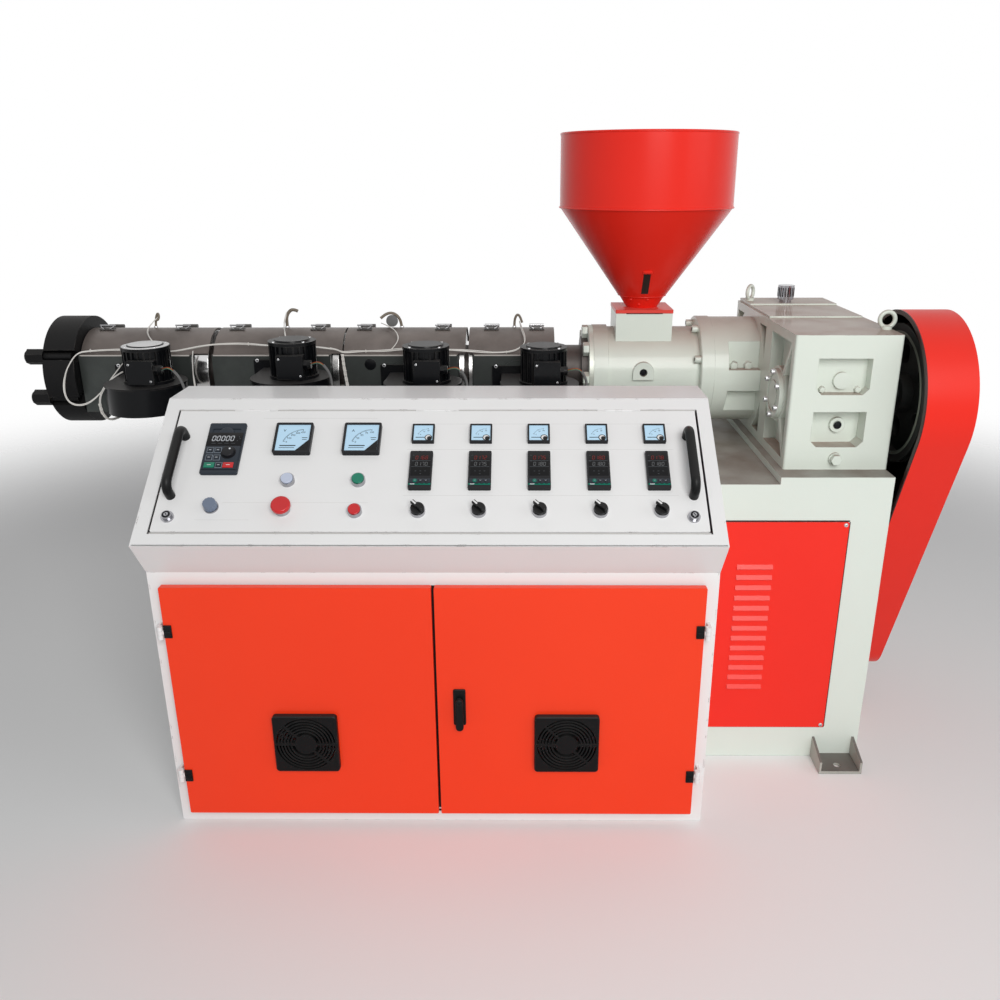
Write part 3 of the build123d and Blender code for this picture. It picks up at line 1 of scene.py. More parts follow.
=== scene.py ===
# %% [markdown]
# # Dressing a plastic extruder in Blender
# The machine melts plastic granules in a long heated barrel, driven by a gearbox and a
# belt, and is run from a sheet-metal console in front of the barrel. Its solids come
# ready made from CAD. This lesson gives each surface its finish and adds the small
# things CAD leaves out: bolts, dials, digits, cables and a riveted seam.
# %% Load the machine
import math
import random

import bmesh
import bpy
from mathutils import Matrix, Vector


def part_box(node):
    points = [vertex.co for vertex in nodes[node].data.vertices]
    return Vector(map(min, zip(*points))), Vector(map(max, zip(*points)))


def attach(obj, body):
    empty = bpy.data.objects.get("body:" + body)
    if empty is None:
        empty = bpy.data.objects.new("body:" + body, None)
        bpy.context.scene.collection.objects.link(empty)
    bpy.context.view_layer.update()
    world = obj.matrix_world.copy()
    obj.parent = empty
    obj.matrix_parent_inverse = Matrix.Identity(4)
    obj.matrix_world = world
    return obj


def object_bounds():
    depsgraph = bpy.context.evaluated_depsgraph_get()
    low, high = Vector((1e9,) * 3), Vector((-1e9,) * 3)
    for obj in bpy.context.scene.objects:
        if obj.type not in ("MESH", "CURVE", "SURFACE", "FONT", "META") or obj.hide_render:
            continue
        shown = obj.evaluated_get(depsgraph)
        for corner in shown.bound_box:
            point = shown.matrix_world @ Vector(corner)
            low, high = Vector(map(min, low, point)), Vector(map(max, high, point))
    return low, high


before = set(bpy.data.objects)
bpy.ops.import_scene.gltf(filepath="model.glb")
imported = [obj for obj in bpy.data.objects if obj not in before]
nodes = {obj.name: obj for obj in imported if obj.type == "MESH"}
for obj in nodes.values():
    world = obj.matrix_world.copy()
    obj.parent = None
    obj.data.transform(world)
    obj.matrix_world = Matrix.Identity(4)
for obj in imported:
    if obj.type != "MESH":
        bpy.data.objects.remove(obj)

cad_low, cad_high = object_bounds()
random.seed(7)

# %% [markdown]
# ## Shader nodes
# The world, the floor and every finish are node trees. One helper adds a node, sets it
# and joins its inputs, so each tree reads as a short list of what feeds what.
# %% Helper that adds a node
def add_node(tree, kind, inputs=(), **settings):
    """A shader node; each input is another node's output to join, or a plain value."""
    node = tree.nodes.new("ShaderNode" + kind)
    for label, value in settings.items():
        setattr(node, label, value)
    for key, value in dict(inputs).items():
        if isinstance(value, bpy.types.NodeSocket):
            tree.links.new(value, node.inputs[key])
        else:
            node.inputs[key].default_value = value
    return node


print("helper", add_node.__name__)

# %% [markdown]
# ## Camera
# The photograph was taken from a little left of the machine's middle, at about chin
# height, looking down by twenty degrees. A camera fitted to the console's straight edges
# gives its place and lens, so it is set by number and not by eye.
# %% Place the camera
camera_data = bpy.data.cameras.new("camera")
camera_data.sensor_width = 36.0
camera_data.lens = 907.08 / 1000 * 36.0
camera_data.shift_x = -(514.53 - 500) / 1000
camera_data.shift_y = (497.54 - 500) / 1000
camera = bpy.data.objects.new("camera", camera_data)
camera.location = (-0.31753, -2.44684, 1.41438)
pitch, yaw, roll = math.radians(19.72), math.radians(0.49), math.radians(-0.14)
camera.rotation_euler = (Matrix.Rotation(yaw, 3, "Z") @ Matrix.Rotation(math.pi / 2 - pitch, 3, "X")
                         @ Matrix.Rotation(roll, 3, "Z")).to_euler()
bpy.context.scene.collection.objects.link(camera)
bpy.context.scene.camera = camera
print("lens", round(camera_data.lens, 2))

# %% [markdown]
# ## Light
# A workshop window lights the machine from the front, so the big soft lamp stands in
# front and above, a weaker one fills from the right, and the world is a plain grey-white.
# Rays that come straight from the camera see white instead, and so do mirror-like parts.
# %% Make the lamps and the world
def add_lamp(name, place, aim, size, power, colour):
    """A square area lamp that looks from its place at its aim."""
    lamp = bpy.data.lights.new(name, "AREA")
    lamp.shape = "SQUARE"
    lamp.size = size
    lamp.energy = power
    lamp.color = colour
    holder = bpy.data.objects.new(name, lamp)
    holder.location = place
    holder.rotation_euler = (Vector(aim) - Vector(place)).to_track_quat("-Z", "Y").to_euler()
    bpy.context.scene.collection.objects.link(holder)
    return holder


add_lamp("window", (0.5, -4.4, 3.0), (-0.3, 0, 0.7), 2.4, 142, (1.0, 0.995, 0.98))
add_lamp("fill", (3.6, -2.2, 2.6), (0, 0, 0.8), 2.6, 24, (0.96, 0.98, 1.0))
add_lamp("skylight", (-0.5, 1.4, 4.2), (-0.4, 0, 0.9), 3.0, 12, (1.0, 0.96, 0.92))

world = bpy.data.worlds.new("workshop")
world.use_nodes = True
bpy.context.scene.world = world
world_tree = world.node_tree
background = world_tree.nodes["Background"]
background.inputs["Color"].default_value = (0.93, 0.94, 0.96, 1)
background.inputs["Strength"].default_value = 0.27
seen = add_node(world_tree, "Background", {"Color": (1, 1, 1, 1), "Strength": 1.0})
path = add_node(world_tree, "LightPath").outputs
mirrored = add_node(world_tree, "Math", {0: path["Is Glossy Ray"], 1: path["Is Transmission Ray"]},
                    operation="MAXIMUM")
plain = add_node(world_tree, "Math", {0: path["Is Camera Ray"], 1: mirrored.outputs["Value"]},
                 operation="MAXIMUM")
choose = add_node(world_tree, "MixShader", {"Fac": plain.outputs["Value"], 1: background.outputs["Background"],
                                            2: seen.outputs["Background"]})
world_tree.links.new(choose.outputs["Shader"], world_tree.nodes["World Output"].inputs["Surface"])
bpy.context.scene.view_settings.view_transform = "Standard"

# %% [markdown]
# ## Floor
# A pale floor keeps the machine's shadow. It fades out a few metres away, so that the
# white of the world takes over with no line where the two meet.
# %% Lay the floor
floor_mesh = bmesh.new()
bmesh.ops.create_circle(floor_mesh, cap_ends=True, segments=64, radius=9)
floor_data = bpy.data.meshes.new("floor")
floor_mesh.to_mesh(floor_data)
floor_mesh.free()
floor = bpy.data.objects.new("floor", floor_data)
bpy.context.scene.collection.objects.link(floor)
floor.location = (-0.4, 0, cad_low.z - 0.0005)
floor_paint = bpy.data.materials.new("floor_paint")
floor_paint.use_nodes = True
floor_tree = floor_paint.node_tree
floor_shader = floor_tree.nodes["Principled BSDF"]
floor_shader.inputs["Base Color"].default_value = (0.84, 0.84, 0.84, 1)
floor_shader.inputs["Roughness"].default_value = 0.9
floor_place = add_node(floor_tree, "TexCoord")
floor_far = add_node(floor_tree, "VectorMath", {0: floor_place.outputs["Object"]}, operation="LENGTH")
floor_fade = add_node(floor_tree, "MapRange", {"Value": floor_far.outputs["Value"], "From Min": 1.9,
                                               "From Max": 4.5}, interpolation_type="SMOOTHERSTEP")
floor_gone = add_node(floor_tree, "BsdfTransparent")
floor_mix = add_node(floor_tree, "MixShader", {"Fac": floor_fade.outputs["Result"],
                                               1: floor_shader.outputs["BSDF"], 2: floor_gone.outputs["BSDF"]})
floor_tree.links.new(floor_mix.outputs["Shader"], floor_tree.nodes["Material Output"].inputs["Surface"])
floor_data.materials.append(floor_paint)

# %% [markdown]
# ## Shared surface effects
# Paint, steel and plastic share a few effects: worn edges, grain, dust and painted shade on
# upward faces, and painted shade inside shells. Each is a shader node group with named inputs,
# made once and placed in every material with values of its own, so one change reaches them all.
# %% Helpers for node groups
def new_group(name, inputs, outputs):
    """A shader node group with float, vector or colour sockets."""
    group = bpy.data.node_groups.new(name, "ShaderNodeTree")
    kinds = {"float": "NodeSocketFloat", "vector": "NodeSocketVector", "colour": "NodeSocketColor"}
    for label, kind, value in inputs:
        socket = group.interface.new_socket(name=label, in_out="INPUT", socket_type=kinds[kind])
        socket.default_value = value
    for label, kind in outputs:
        group.interface.new_socket(name=label, in_out="OUTPUT", socket_type=kinds[kind])
    return group, group.nodes.new("NodeGroupInput"), group.nodes.new("NodeGroupOutput")


def math_node(tree, operation, first, second=None, clamp=False):
    """The output of a math node whose inputs are sockets or plain numbers."""
    inputs = {0: first} if second is None else {0: first, 1: second}
    return add_node(tree, "Math", inputs, operation=operation, use_clamp=clamp).outputs["Value"]


def place_group(tree, group, **values):
    """An instance of a group; a value is a number or a socket, and _ stands for a space."""
    inputs = {label.replace("_", " "): value for label, value in values.items()}
    return add_node(tree, "Group", inputs, node_tree=group)


# %% Worn edges: compare the true normal with one that is rounded over the edge
edge_wear, wear_in, wear_out = new_group(
    "edge_wear",
    [("Width", "float", 0.002), ("Patchiness", "float", 6.0), ("Amount", "float", 0.5),
     ("Threshold", "float", 0.45)],
    [("Mask", "float")],
)
rounded = add_node(edge_wear, "Bevel", {"Radius": wear_in.outputs["Width"]}, samples=4)
flat = add_node(edge_wear, "NewGeometry")
same = add_node(edge_wear, "VectorMath", {0: rounded.outputs["Normal"], 1: flat.outputs["Normal"]},
                operation="DOT_PRODUCT")
wear_place = add_node(edge_wear, "TexCoord")
patches = add_node(edge_wear, "TexNoise", {"Vector": wear_place.outputs["Object"],
                                           "Scale": wear_in.outputs["Patchiness"], "Detail": 4})
bend = math_node(edge_wear, "SUBTRACT", 1.0, same.outputs["Value"], clamp=True)
strong = math_node(edge_wear, "MULTIPLY", bend, 7.0, clamp=True)
patchy = math_node(edge_wear, "SUBTRACT", patches.outputs["Fac"], wear_in.outputs["Threshold"])
patchy = math_node(edge_wear, "MULTIPLY", patchy, 9.0, clamp=True)
worn = math_node(edge_wear, "MULTIPLY", strong, patchy)
worn = math_node(edge_wear, "MULTIPLY", worn, wear_in.outputs["Amount"], clamp=True)
edge_wear.links.new(worn, wear_out.inputs["Mask"])

# %% Grain: two sizes of noise, for the height of a bump and for slight patches of colour
grain, grain_in, grain_out = new_group(
    "grain",
    [("Scale", "float", 400.0), ("Patch Scale", "float", 5.0), ("Stretch", "vector", (1, 1, 1))],
    [("Height", "float"), ("Patches", "float")],
)
grain_place = add_node(grain, "TexCoord")
stretched = add_node(grain, "VectorMath", {0: grain_place.outputs["Object"], 1: grain_in.outputs["Stretch"]},
                     operation="MULTIPLY")
fine = add_node(grain, "TexNoise", {"Vector": stretched.outputs["Vector"], "Scale": grain_in.outputs["Scale"],
                                    "Detail": 3})
broad = add_node(grain, "TexNoise", {"Vector": grain_place.outputs["Object"],
                                     "Scale": grain_in.outputs["Patch Scale"], "Detail": 5, "Roughness": 0.6})
grain.links.new(fine.outputs["Fac"], grain_out.inputs["Height"])
grain.links.new(broad.outputs["Fac"], grain_out.inputs["Patches"])

# %% Dust and painted shade: darkens faces that look up, as dust and as the shade on tops, thicker in some patches
dust_and_shade, dust_and_shade_in, dust_and_shade_out = new_group(
    "dust_and_shade", [("Amount", "float", 0.4), ("Patch Scale", "float", 9.0)], [("Mask", "float")]
)
dust_and_shade_facing = add_node(dust_and_shade, "NewGeometry")
dust_and_shade_up = add_node(dust_and_shade, "SeparateXYZ", {"Vector": dust_and_shade_facing.outputs["Normal"]})
dust_and_shade_place = add_node(dust_and_shade, "TexCoord")
dust_and_shade_patch = add_node(dust_and_shade, "TexNoise", {"Vector": dust_and_shade_place.outputs["Object"],
                                         "Scale": dust_and_shade_in.outputs["Patch Scale"], "Detail": 6})
upward = math_node(dust_and_shade, "POWER", math_node(dust_and_shade, "MAXIMUM", dust_and_shade_up.outputs["Z"], 0.0), 2.0)
thick = math_node(dust_and_shade, "ADD", math_node(dust_and_shade, "MULTIPLY", dust_and_shade_patch.outputs["Fac"], 0.6), 0.5)
dust_and_shade_cover = math_node(dust_and_shade, "MULTIPLY", math_node(dust_and_shade, "MULTIPLY", upward, thick), dust_and_shade_in.outputs["Amount"],
                    clamp=True)
dust_and_shade.links.new(dust_and_shade_cover, dust_and_shade_out.inputs["Mask"])

# %% Inside: a mask of the faces that look towards a point in the middle of a shell, where the shade inside is painted
inside, inside_in, inside_out = new_group(
    "inside", [("Middle", "vector", (0, 0, 0)), ("Flatten", "vector", (1, 1, 1))], [("Mask", "float")]
)
inside_facing = add_node(inside, "NewGeometry")
inside_place = add_node(inside, "TexCoord")
inward = add_node(inside, "VectorMath", {0: inside_place.outputs["Object"], 1: inside_in.outputs["Middle"]},
                  operation="SUBTRACT")
flattened = add_node(inside, "VectorMath", {0: inward.outputs["Vector"], 1: inside_in.outputs["Flatten"]},
                     operation="MULTIPLY")
towards = add_node(inside, "VectorMath", {0: flattened.outputs["Vector"], 1: inside_facing.outputs["Normal"]},
                   operation="DOT_PRODUCT")
inside.links.new(math_node(inside, "LESS_THAN", towards.outputs["Value"], 0.0), inside_out.inputs["Mask"])

# %% Side: a mask of what lies beyond a height along one axis, for parts in two finishes
side, side_in, side_out = new_group(
    "side", [("Axis", "vector", (0, 0, 1)), ("Height", "float", 0.0)], [("Mask", "float")]
)
side_place = add_node(side, "TexCoord")
along = add_node(side, "VectorMath", {0: side_place.outputs["Object"], 1: side_in.outputs["Axis"]},
                 operation="DOT_PRODUCT")
beyond_it = math_node(side, "GREATER_THAN", along.outputs["Value"], side_in.outputs["Height"])
side.links.new(beyond_it, side_out.inputs["Mask"])
print("groups", [group.name for group in bpy.data.node_groups])

# %% [markdown]
# ## Paints
# All the painted sheet is enamel over steel: a base colour with slight patches, an
# orange-peel bump, edges rubbed down to a darker primer, and dust and painted shade on
# top. One helper builds the tree, and each paint is one call with its own colours.
# %% Paint helper
def linear(red, green, blue):
    """An sRGB colour, 0 to 255, as the linear colour that the shader expects."""
    channels = []
    for value in (red / 255, green / 255, blue / 255):
        channels.append(value / 12.92 if value <= 0.04045 else ((value + 0.055) / 1.055) ** 2.4)
    return (*channels, 1.0)


def start_material(name, roughness, metallic=0.0, coat=0.0, gloss=0.3):
    """A new material with its plain shader values set."""
    material = bpy.data.materials.new(name)
    material.use_nodes = True
    tree = material.node_tree
    shader = tree.nodes["Principled BSDF"]
    shader.inputs["Roughness"].default_value = roughness
    shader.inputs["Metallic"].default_value = metallic
    shader.inputs["Coat Weight"].default_value = coat
    shader.inputs["Specular IOR Level"].default_value = gloss
    shader.inputs["Coat Roughness"].default_value = 0.12
    return material, tree, shader


def mix_colour(tree, mask, first, second):
    """Colour mixed by a mask; each colour is a socket or sRGB numbers, 0 to 255."""
    colours = [value if isinstance(value, bpy.types.NodeSocket) else linear(*value)
               for value in (first, second)]
    return add_node(tree, "Mix", {6: colours[0], 7: colours[1], "Factor": mask}, data_type="RGBA").outputs[2]


def bump(tree, shader, height, strength, distance):
    """A bump node between a height and the shader's normal."""
    node = add_node(tree, "Bump", {"Height": height, "Strength": strength, "Distance": distance})
    tree.links.new(node.outputs["Normal"], shader.inputs["Normal"])


def enamel(name, colour, shade, primer, rough=0.32, wear=0.6, dust_and_shade_amount=0.3, peel=0.12, inner_shade=None, middle=None,
           flatten=(1, 1, 1), dust_and_shade_colour=(120, 108, 100), coat=0.1, chips=(14.0, 0.45), beyond=(), gloss=0.3):
    """Sprayed enamel: patches of a second tone, orange peel, worn edges, dust and painted shade on tops, and
    painted shade inside.
    """
    material, tree, shader = start_material(name, rough, coat=coat, gloss=gloss)
    texture = place_group(tree, grain, Scale=260.0, Patch_Scale=2.2)
    colour_now = mix_colour(tree, texture.outputs["Patches"], colour, shade)
    rubbed = place_group(tree, edge_wear, Width=0.0016, Patchiness=chips[0], Amount=wear, Threshold=chips[1])
    colour_now = mix_colour(tree, rubbed.outputs["Mask"], colour_now, primer)
    dust_and_shade_mask = place_group(tree, dust_and_shade, Amount=dust_and_shade_amount)
    colour_now = mix_colour(tree, dust_and_shade_mask.outputs["Mask"], colour_now, dust_and_shade_colour)
    matt = math_node(tree, "MULTIPLY", dust_and_shade_mask.outputs["Mask"], 0.4)
    rough_now = math_node(tree, "ADD", matt, rough, clamp=True)
    if inner_shade:
        dark = place_group(tree, inside, Middle=middle, Flatten=flatten)
        colour_now = mix_colour(tree, dark.outputs["Mask"], colour_now, inner_shade)
    for axis, height, other in beyond:
        part = place_group(tree, side, Axis=axis, Height=height)
        colour_now = mix_colour(tree, part.outputs["Mask"], colour_now, other)
    tree.links.new(colour_now, shader.inputs["Base Color"])
    tree.links.new(rough_now, shader.inputs["Roughness"])
    bump(tree, shader, texture.outputs["Height"], peel, 0.0006)
    return material


# %% Mix the paints
guard_low, guard_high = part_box("belt_guard")
guard_middle = (guard_low + guard_high) / 2
hopper_low, hopper_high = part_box("hopper")
door_low, door_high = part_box("door_left")[0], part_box("door_right")[1]
console_white = enamel("console_white", (240, 240, 240), (232, 232, 232), (104, 92, 86),
                       rough=0.34, wear=0.9, dust_and_shade_amount=0.06, peel=0.1, dust_and_shade_colour=(150, 144, 140), chips=(42.0, 0.57))
door_orange = enamel("door_orange", (250, 64, 24), (242, 56, 18), (150, 60, 48), rough=0.34, wear=0.4,
                     dust_and_shade_amount=0.2, peel=0.16, dust_and_shade_colour=(190, 100, 90), coat=0.05,
                     beyond=(((1, 0, 0), door_high.x - 0.0136, (236, 234, 234)),
                             ((-1, 0, 0), -door_low.x - 0.0136, (236, 234, 234))))
# The brown on up-facing faces is partly dust and partly painted shade on tops that the front light misses.
machine_green = enamel("machine_green", (228, 236, 226), (219, 226, 216), (92, 84, 74), rough=0.36,
                       wear=0.8, dust_and_shade_amount=1.0, peel=0.25, dust_and_shade_colour=(150, 126, 114), coat=0.3)
# The pedestal's dark top colour is dust and painted shadow from the console and gearbox above it.
pedestal_green = enamel("pedestal_green", (226, 234, 226), (217, 225, 216), (96, 88, 78), rough=0.42,
                        wear=0.6, dust_and_shade_amount=1.0, peel=0.25, dust_and_shade_colour=(118, 104, 96))
foot_paint = enamel("foot_paint", (206, 208, 200), (128, 122, 114), (60, 54, 50), rough=0.55, wear=1.0,
                    dust_and_shade_amount=1.0, peel=0.4, dust_and_shade_colour=(76, 70, 66), chips=(60.0, 0.4))
feed_red = enamel("feed_red", (250, 46, 30), (240, 38, 24), (110, 30, 24), rough=0.3, wear=0.5,
                  dust_and_shade_amount=0.15, peel=0.14, coat=0.05)
plate_red = enamel("plate_red", (232, 74, 62), (220, 62, 52), (110, 40, 34), rough=0.34, wear=0.5,
                   dust_and_shade_amount=0.3, peel=0.14, coat=0.05, dust_and_shade_colour=(190, 120, 110))
# Painted shade: the guard's inner faces are near black and its open left lip dark brown, the shade inside the
# guard.
guard_red = enamel("guard_red", (246, 42, 24), (228, 34, 18), (80, 24, 20), rough=0.36, wear=0.4,
                   dust_and_shade_amount=0.3, peel=0.2, inner_shade=(16, 14, 14), middle=guard_middle, coat=0.05, dust_and_shade_colour=(170, 66, 60),
                   beyond=(((-1, 0, 0), -guard_low.x - 0.0028, (52, 27, 24)),))
# Painted shade: the hopper's inner walls are a darker red for the shade inside it.
hopper_red = enamel("hopper_red", (244, 46, 32), (230, 40, 28), (110, 30, 24), rough=0.26,
                    wear=0.4, dust_and_shade_amount=0.1, peel=0.12, inner_shade=(150, 34, 26), coat=0.05, gloss=0.2,
                    middle=((hopper_low + hopper_high) / 2), flatten=(1, 1, 0.05))
black_enamel = enamel("black_enamel", (15, 16, 19), (9, 10, 12), (96, 92, 88), rough=0.3,
                      wear=0.5, dust_and_shade_amount=0.4, peel=0.2, dust_and_shade_colour=(84, 82, 80), coat=0.06, gloss=0.12)
cast_black = enamel("cast_black", (20, 20, 21), (10, 10, 11), (92, 88, 84), rough=0.5, wear=0.9,
                    dust_and_shade_amount=0.25, peel=0.6, dust_and_shade_colour=(58, 56, 54), coat=0.0, chips=(30.0, 0.5), gloss=0.14)
print("paints", 11)

# %% [markdown]
# ## Bare metal
# The heater jackets are steel sheet that heat has turned brown; the barrel bands are
# polished; bolts, flanges and hinges are turned or plated. They share one helper with a
# stretched grain, which draws the brush or lathe marks along one axis.
# %% Metal helper and metals
def metal(name, colour, patch, rough, stretch=(1, 1, 1), scale=300.0, patch_scale=7.0, marks=0.2, dust_and_shade_amount=0.2,
          dust_and_shade_colour=(90, 82, 76), metallic=1.0, beyond=None):
    """Bare metal with directional marks, patches of tarnish, and dust and painted shade on upward faces."""
    material, tree, shader = start_material(name, rough, metallic=metallic, gloss=0.4)
    texture = place_group(tree, grain, Scale=scale, Patch_Scale=patch_scale, Stretch=stretch)
    tarnish = math_node(tree, "SUBTRACT", texture.outputs["Patches"], 0.35)
    tarnish = math_node(tree, "MULTIPLY", tarnish, 2.4, clamp=True)
    colour_now = mix_colour(tree, tarnish, colour, patch)
    dust_and_shade_mask = place_group(tree, dust_and_shade, Amount=dust_and_shade_amount)
    colour_now = mix_colour(tree, dust_and_shade_mask.outputs["Mask"], colour_now, dust_and_shade_colour)
    if beyond:
        part = place_group(tree, side, Axis=beyond[0], Height=beyond[1])
        plate = mix_colour(tree, tarnish, beyond[2], beyond[3])
        colour_now = mix_colour(tree, part.outputs["Mask"], colour_now, plate)
    rough_now = math_node(tree, "ADD", math_node(tree, "MULTIPLY", tarnish, 0.18), rough, clamp=True)
    tree.links.new(colour_now, shader.inputs["Base Color"])
    tree.links.new(rough_now, shader.inputs["Roughness"])
    bump(tree, shader, texture.outputs["Height"], marks, 0.0004)
    return material


# Below the ledge the front plates are dark green-grey: a painted dark reflection and shade over the steel's
# tarnish.
jacket_steel = metal("jacket_steel", (112, 104, 100), (70, 64, 61), 0.36, stretch=(0.15, 1, 1),
                     scale=420.0, patch_scale=7.0, marks=0.25, dust_and_shade_amount=0.35, dust_and_shade_colour=(122, 112, 106), metallic=0.35,
                     beyond=((0, 0, -1), -0.9695, (62, 66, 64), (40, 43, 42)))
polished_steel = metal("polished_steel", (214, 214, 214), (190, 188, 186), 0.12, stretch=(1, 0.08, 0.08),
                       scale=240.0, marks=0.06, dust_and_shade_amount=0.1)
zinc = metal("zinc", (222, 223, 225), (186, 186, 188), 0.25, scale=180.0, patch_scale=40.0, marks=0.1,
             metallic=0.7)
clasp_steel = metal("clasp_steel", (176, 176, 178), (150, 150, 152), 0.2, scale=180.0, marks=0.05,
                    dust_and_shade_amount=0.05, metallic=0.6)
leaf_steel = metal("leaf_steel", (84, 82, 80), (60, 58, 56), 0.35, scale=180.0, marks=0.1, dust_and_shade_amount=0.1,
                   metallic=0.4)
chrome = metal("chrome", (176, 176, 180), (150, 150, 154), 0.08, marks=0.02, dust_and_shade_amount=0.05)
burnt_steel = metal("burnt_steel", (84, 77, 74), (60, 55, 53), 0.4, stretch=(1, 0.1, 0.1), scale=300.0,
                    marks=0.25, dust_and_shade_amount=0.4, metallic=0.4,
                    beyond=((1, 0, 0), -0.1415, (206, 210, 200), (190, 192, 182)))
cast_grey = metal("cast_grey", (40, 42, 40), (26, 28, 27), 0.5, scale=160.0, marks=0.5, dust_and_shade_amount=0.3, metallic=0.2)
# A light grey for the painted highlight on the driven pulley's rim.
rim_highlight_grey = metal("rim_highlight_grey", (128, 134, 122), (96, 102, 92), 0.5, scale=160.0, marks=0.5, dust_and_shade_amount=0.3,
                 metallic=0.2)

# %% [markdown]
# ## Moulded plastic and rubber
# Instrument cases, handles and grilles are moulded plastic: matt, with a fine even
# grain. Rubber is rougher. Coloured caps and keys use the same helper with more gloss.
# %% Plastic helper and plastics
def plastic(name, colour, shade, rough=0.45, bump_strength=0.15, scale=900.0, dust_and_shade_amount=0.15, coat=0.0, wear=0.0,
            gloss=0.16):
    """Moulded plastic or rubber, with an even grain and a little dust and painted shade on upward faces."""
    material, tree, shader = start_material(name, rough, coat=coat, gloss=gloss)
    texture = place_group(tree, grain, Scale=scale, Patch_Scale=12.0)
    colour_now = mix_colour(tree, texture.outputs["Patches"], colour, shade)
    if wear:
        rubbed = place_group(tree, edge_wear, Width=0.001, Patchiness=30.0, Amount=wear)
        colour_now = mix_colour(tree, rubbed.outputs["Mask"], colour_now, (120, 120, 120))
    dust_and_shade_mask = place_group(tree, dust_and_shade, Amount=dust_and_shade_amount)
    colour_now = mix_colour(tree, dust_and_shade_mask.outputs["Mask"], colour_now, (110, 108, 106))
    tree.links.new(colour_now, shader.inputs["Base Color"])
    bump(tree, shader, texture.outputs["Height"], bump_strength, 0.0002)
    return material


black_moulding = plastic("black_moulding", (16, 17, 18), (11, 12, 13), rough=0.38, wear=0.2)
case_black = plastic("case_black", (24, 25, 30), (18, 19, 23), rough=0.35)
keypad_grey = plastic("keypad_grey", (42, 50, 60), (34, 42, 51), rough=0.4)
knob_grey = plastic("knob_grey", (120, 132, 152), (104, 116, 136), rough=0.3, coat=0.2)
cap_red = plastic("cap_red", (214, 40, 44), (196, 30, 34), rough=0.28, coat=0.3)
cap_green = plastic("cap_green", (6, 132, 104), (4, 118, 92), rough=0.28, coat=0.3)
cap_white = plastic("cap_white", (206, 214, 232), (190, 200, 222), rough=0.2, coat=0.4)
rubber = plastic("rubber", (24, 24, 25), (32, 32, 32), rough=0.7, bump_strength=0.3, scale=500.0)
smoked_pane = plastic("smoked_pane", (46, 36, 34), (60, 48, 44), rough=0.2, dust_and_shade_amount=0.3)
dial_blue = plastic("dial_blue", (196, 230, 252), (188, 222, 246), rough=0.18, bump_strength=0.02, dust_and_shade_amount=0.0)
# Black for print, and for painted shade in slots, hollows and holes.
ink_and_shade = plastic("ink_and_shade", (20, 21, 25), (15, 16, 20), rough=0.4, dust_and_shade_amount=0.0)
screen_black = plastic("screen_black", (14, 14, 17), (10, 10, 12), rough=0.15, bump_strength=0.02, dust_and_shade_amount=0.05)
key_grey = plastic("key_grey", (138, 148, 158), (124, 134, 146), rough=0.4, dust_and_shade_amount=0.0)
stripe_green = plastic("stripe_green", (8, 118, 98), (6, 104, 86), rough=0.35, dust_and_shade_amount=0.0)
digit_red = plastic("digit_red", (140, 44, 42), (124, 38, 36), rough=0.4, dust_and_shade_amount=0.0)
digit_grey = plastic("digit_grey", (118, 120, 122), (104, 106, 108), rough=0.4, dust_and_shade_amount=0.0)
digit_pale = plastic("digit_pale", (224, 228, 232), (208, 212, 218), rough=0.4, dust_and_shade_amount=0.0)
digit_dim = plastic("digit_dim", (84, 88, 92), (74, 78, 82), rough=0.4, dust_and_shade_amount=0.0)
digit_faint = plastic("digit_faint", (212, 211, 210), (206, 205, 204), rough=0.5, dust_and_shade_amount=0.0)
# A light grey for the painted highlight in the panel's gaps.
gap_highlight_grey = plastic("gap_highlight_grey", (196, 194, 192), (186, 184, 182), rough=0.6, dust_and_shade_amount=0.0)
wire_white = plastic("wire_white", (244, 242, 238), (220, 216, 210), rough=0.55, scale=1400.0, dust_and_shade_amount=0.2)
braid = plastic("braid", (160, 150, 136), (92, 82, 72), rough=0.6, bump_strength=0.6, scale=900.0)
sleeve_grey = plastic("sleeve_grey", (132, 132, 132), (92, 92, 92), rough=0.5)
lead_red = plastic("lead_red", (176, 92, 60), (150, 72, 48), rough=0.4)
lead_yellow = plastic("lead_yellow", (196, 176, 60), (150, 150, 60), rough=0.4)
lead_blue = plastic("lead_blue", (96, 132, 120), (80, 112, 100), rough=0.4)
# A light grey for the painted highlight on the jacket ledges.
ledge_highlight = plastic("ledge_highlight", (206, 201, 196), (186, 181, 176), rough=0.35, dust_and_shade_amount=0.2)
mark_white = plastic("mark_white", (236, 236, 236), (224, 224, 224), rough=0.4, dust_and_shade_amount=0.0)

# %% [markdown]
# ## Dress the CAD parts
# A CAD part keeps its mesh. It only gets a finish, by way of its object's material
# slots, and the table below is read like a paint plan: finish first, then the parts.
# %% Assign the finishes
def dress(material, *names):
    """Gives CAD parts a finish."""
    for name in names:
        piece = nodes[name]
        for slot in piece.material_slots:
            slot.link = "OBJECT"
            slot.material = material
        if not piece.material_slots:
            piece.data.materials.append(material)


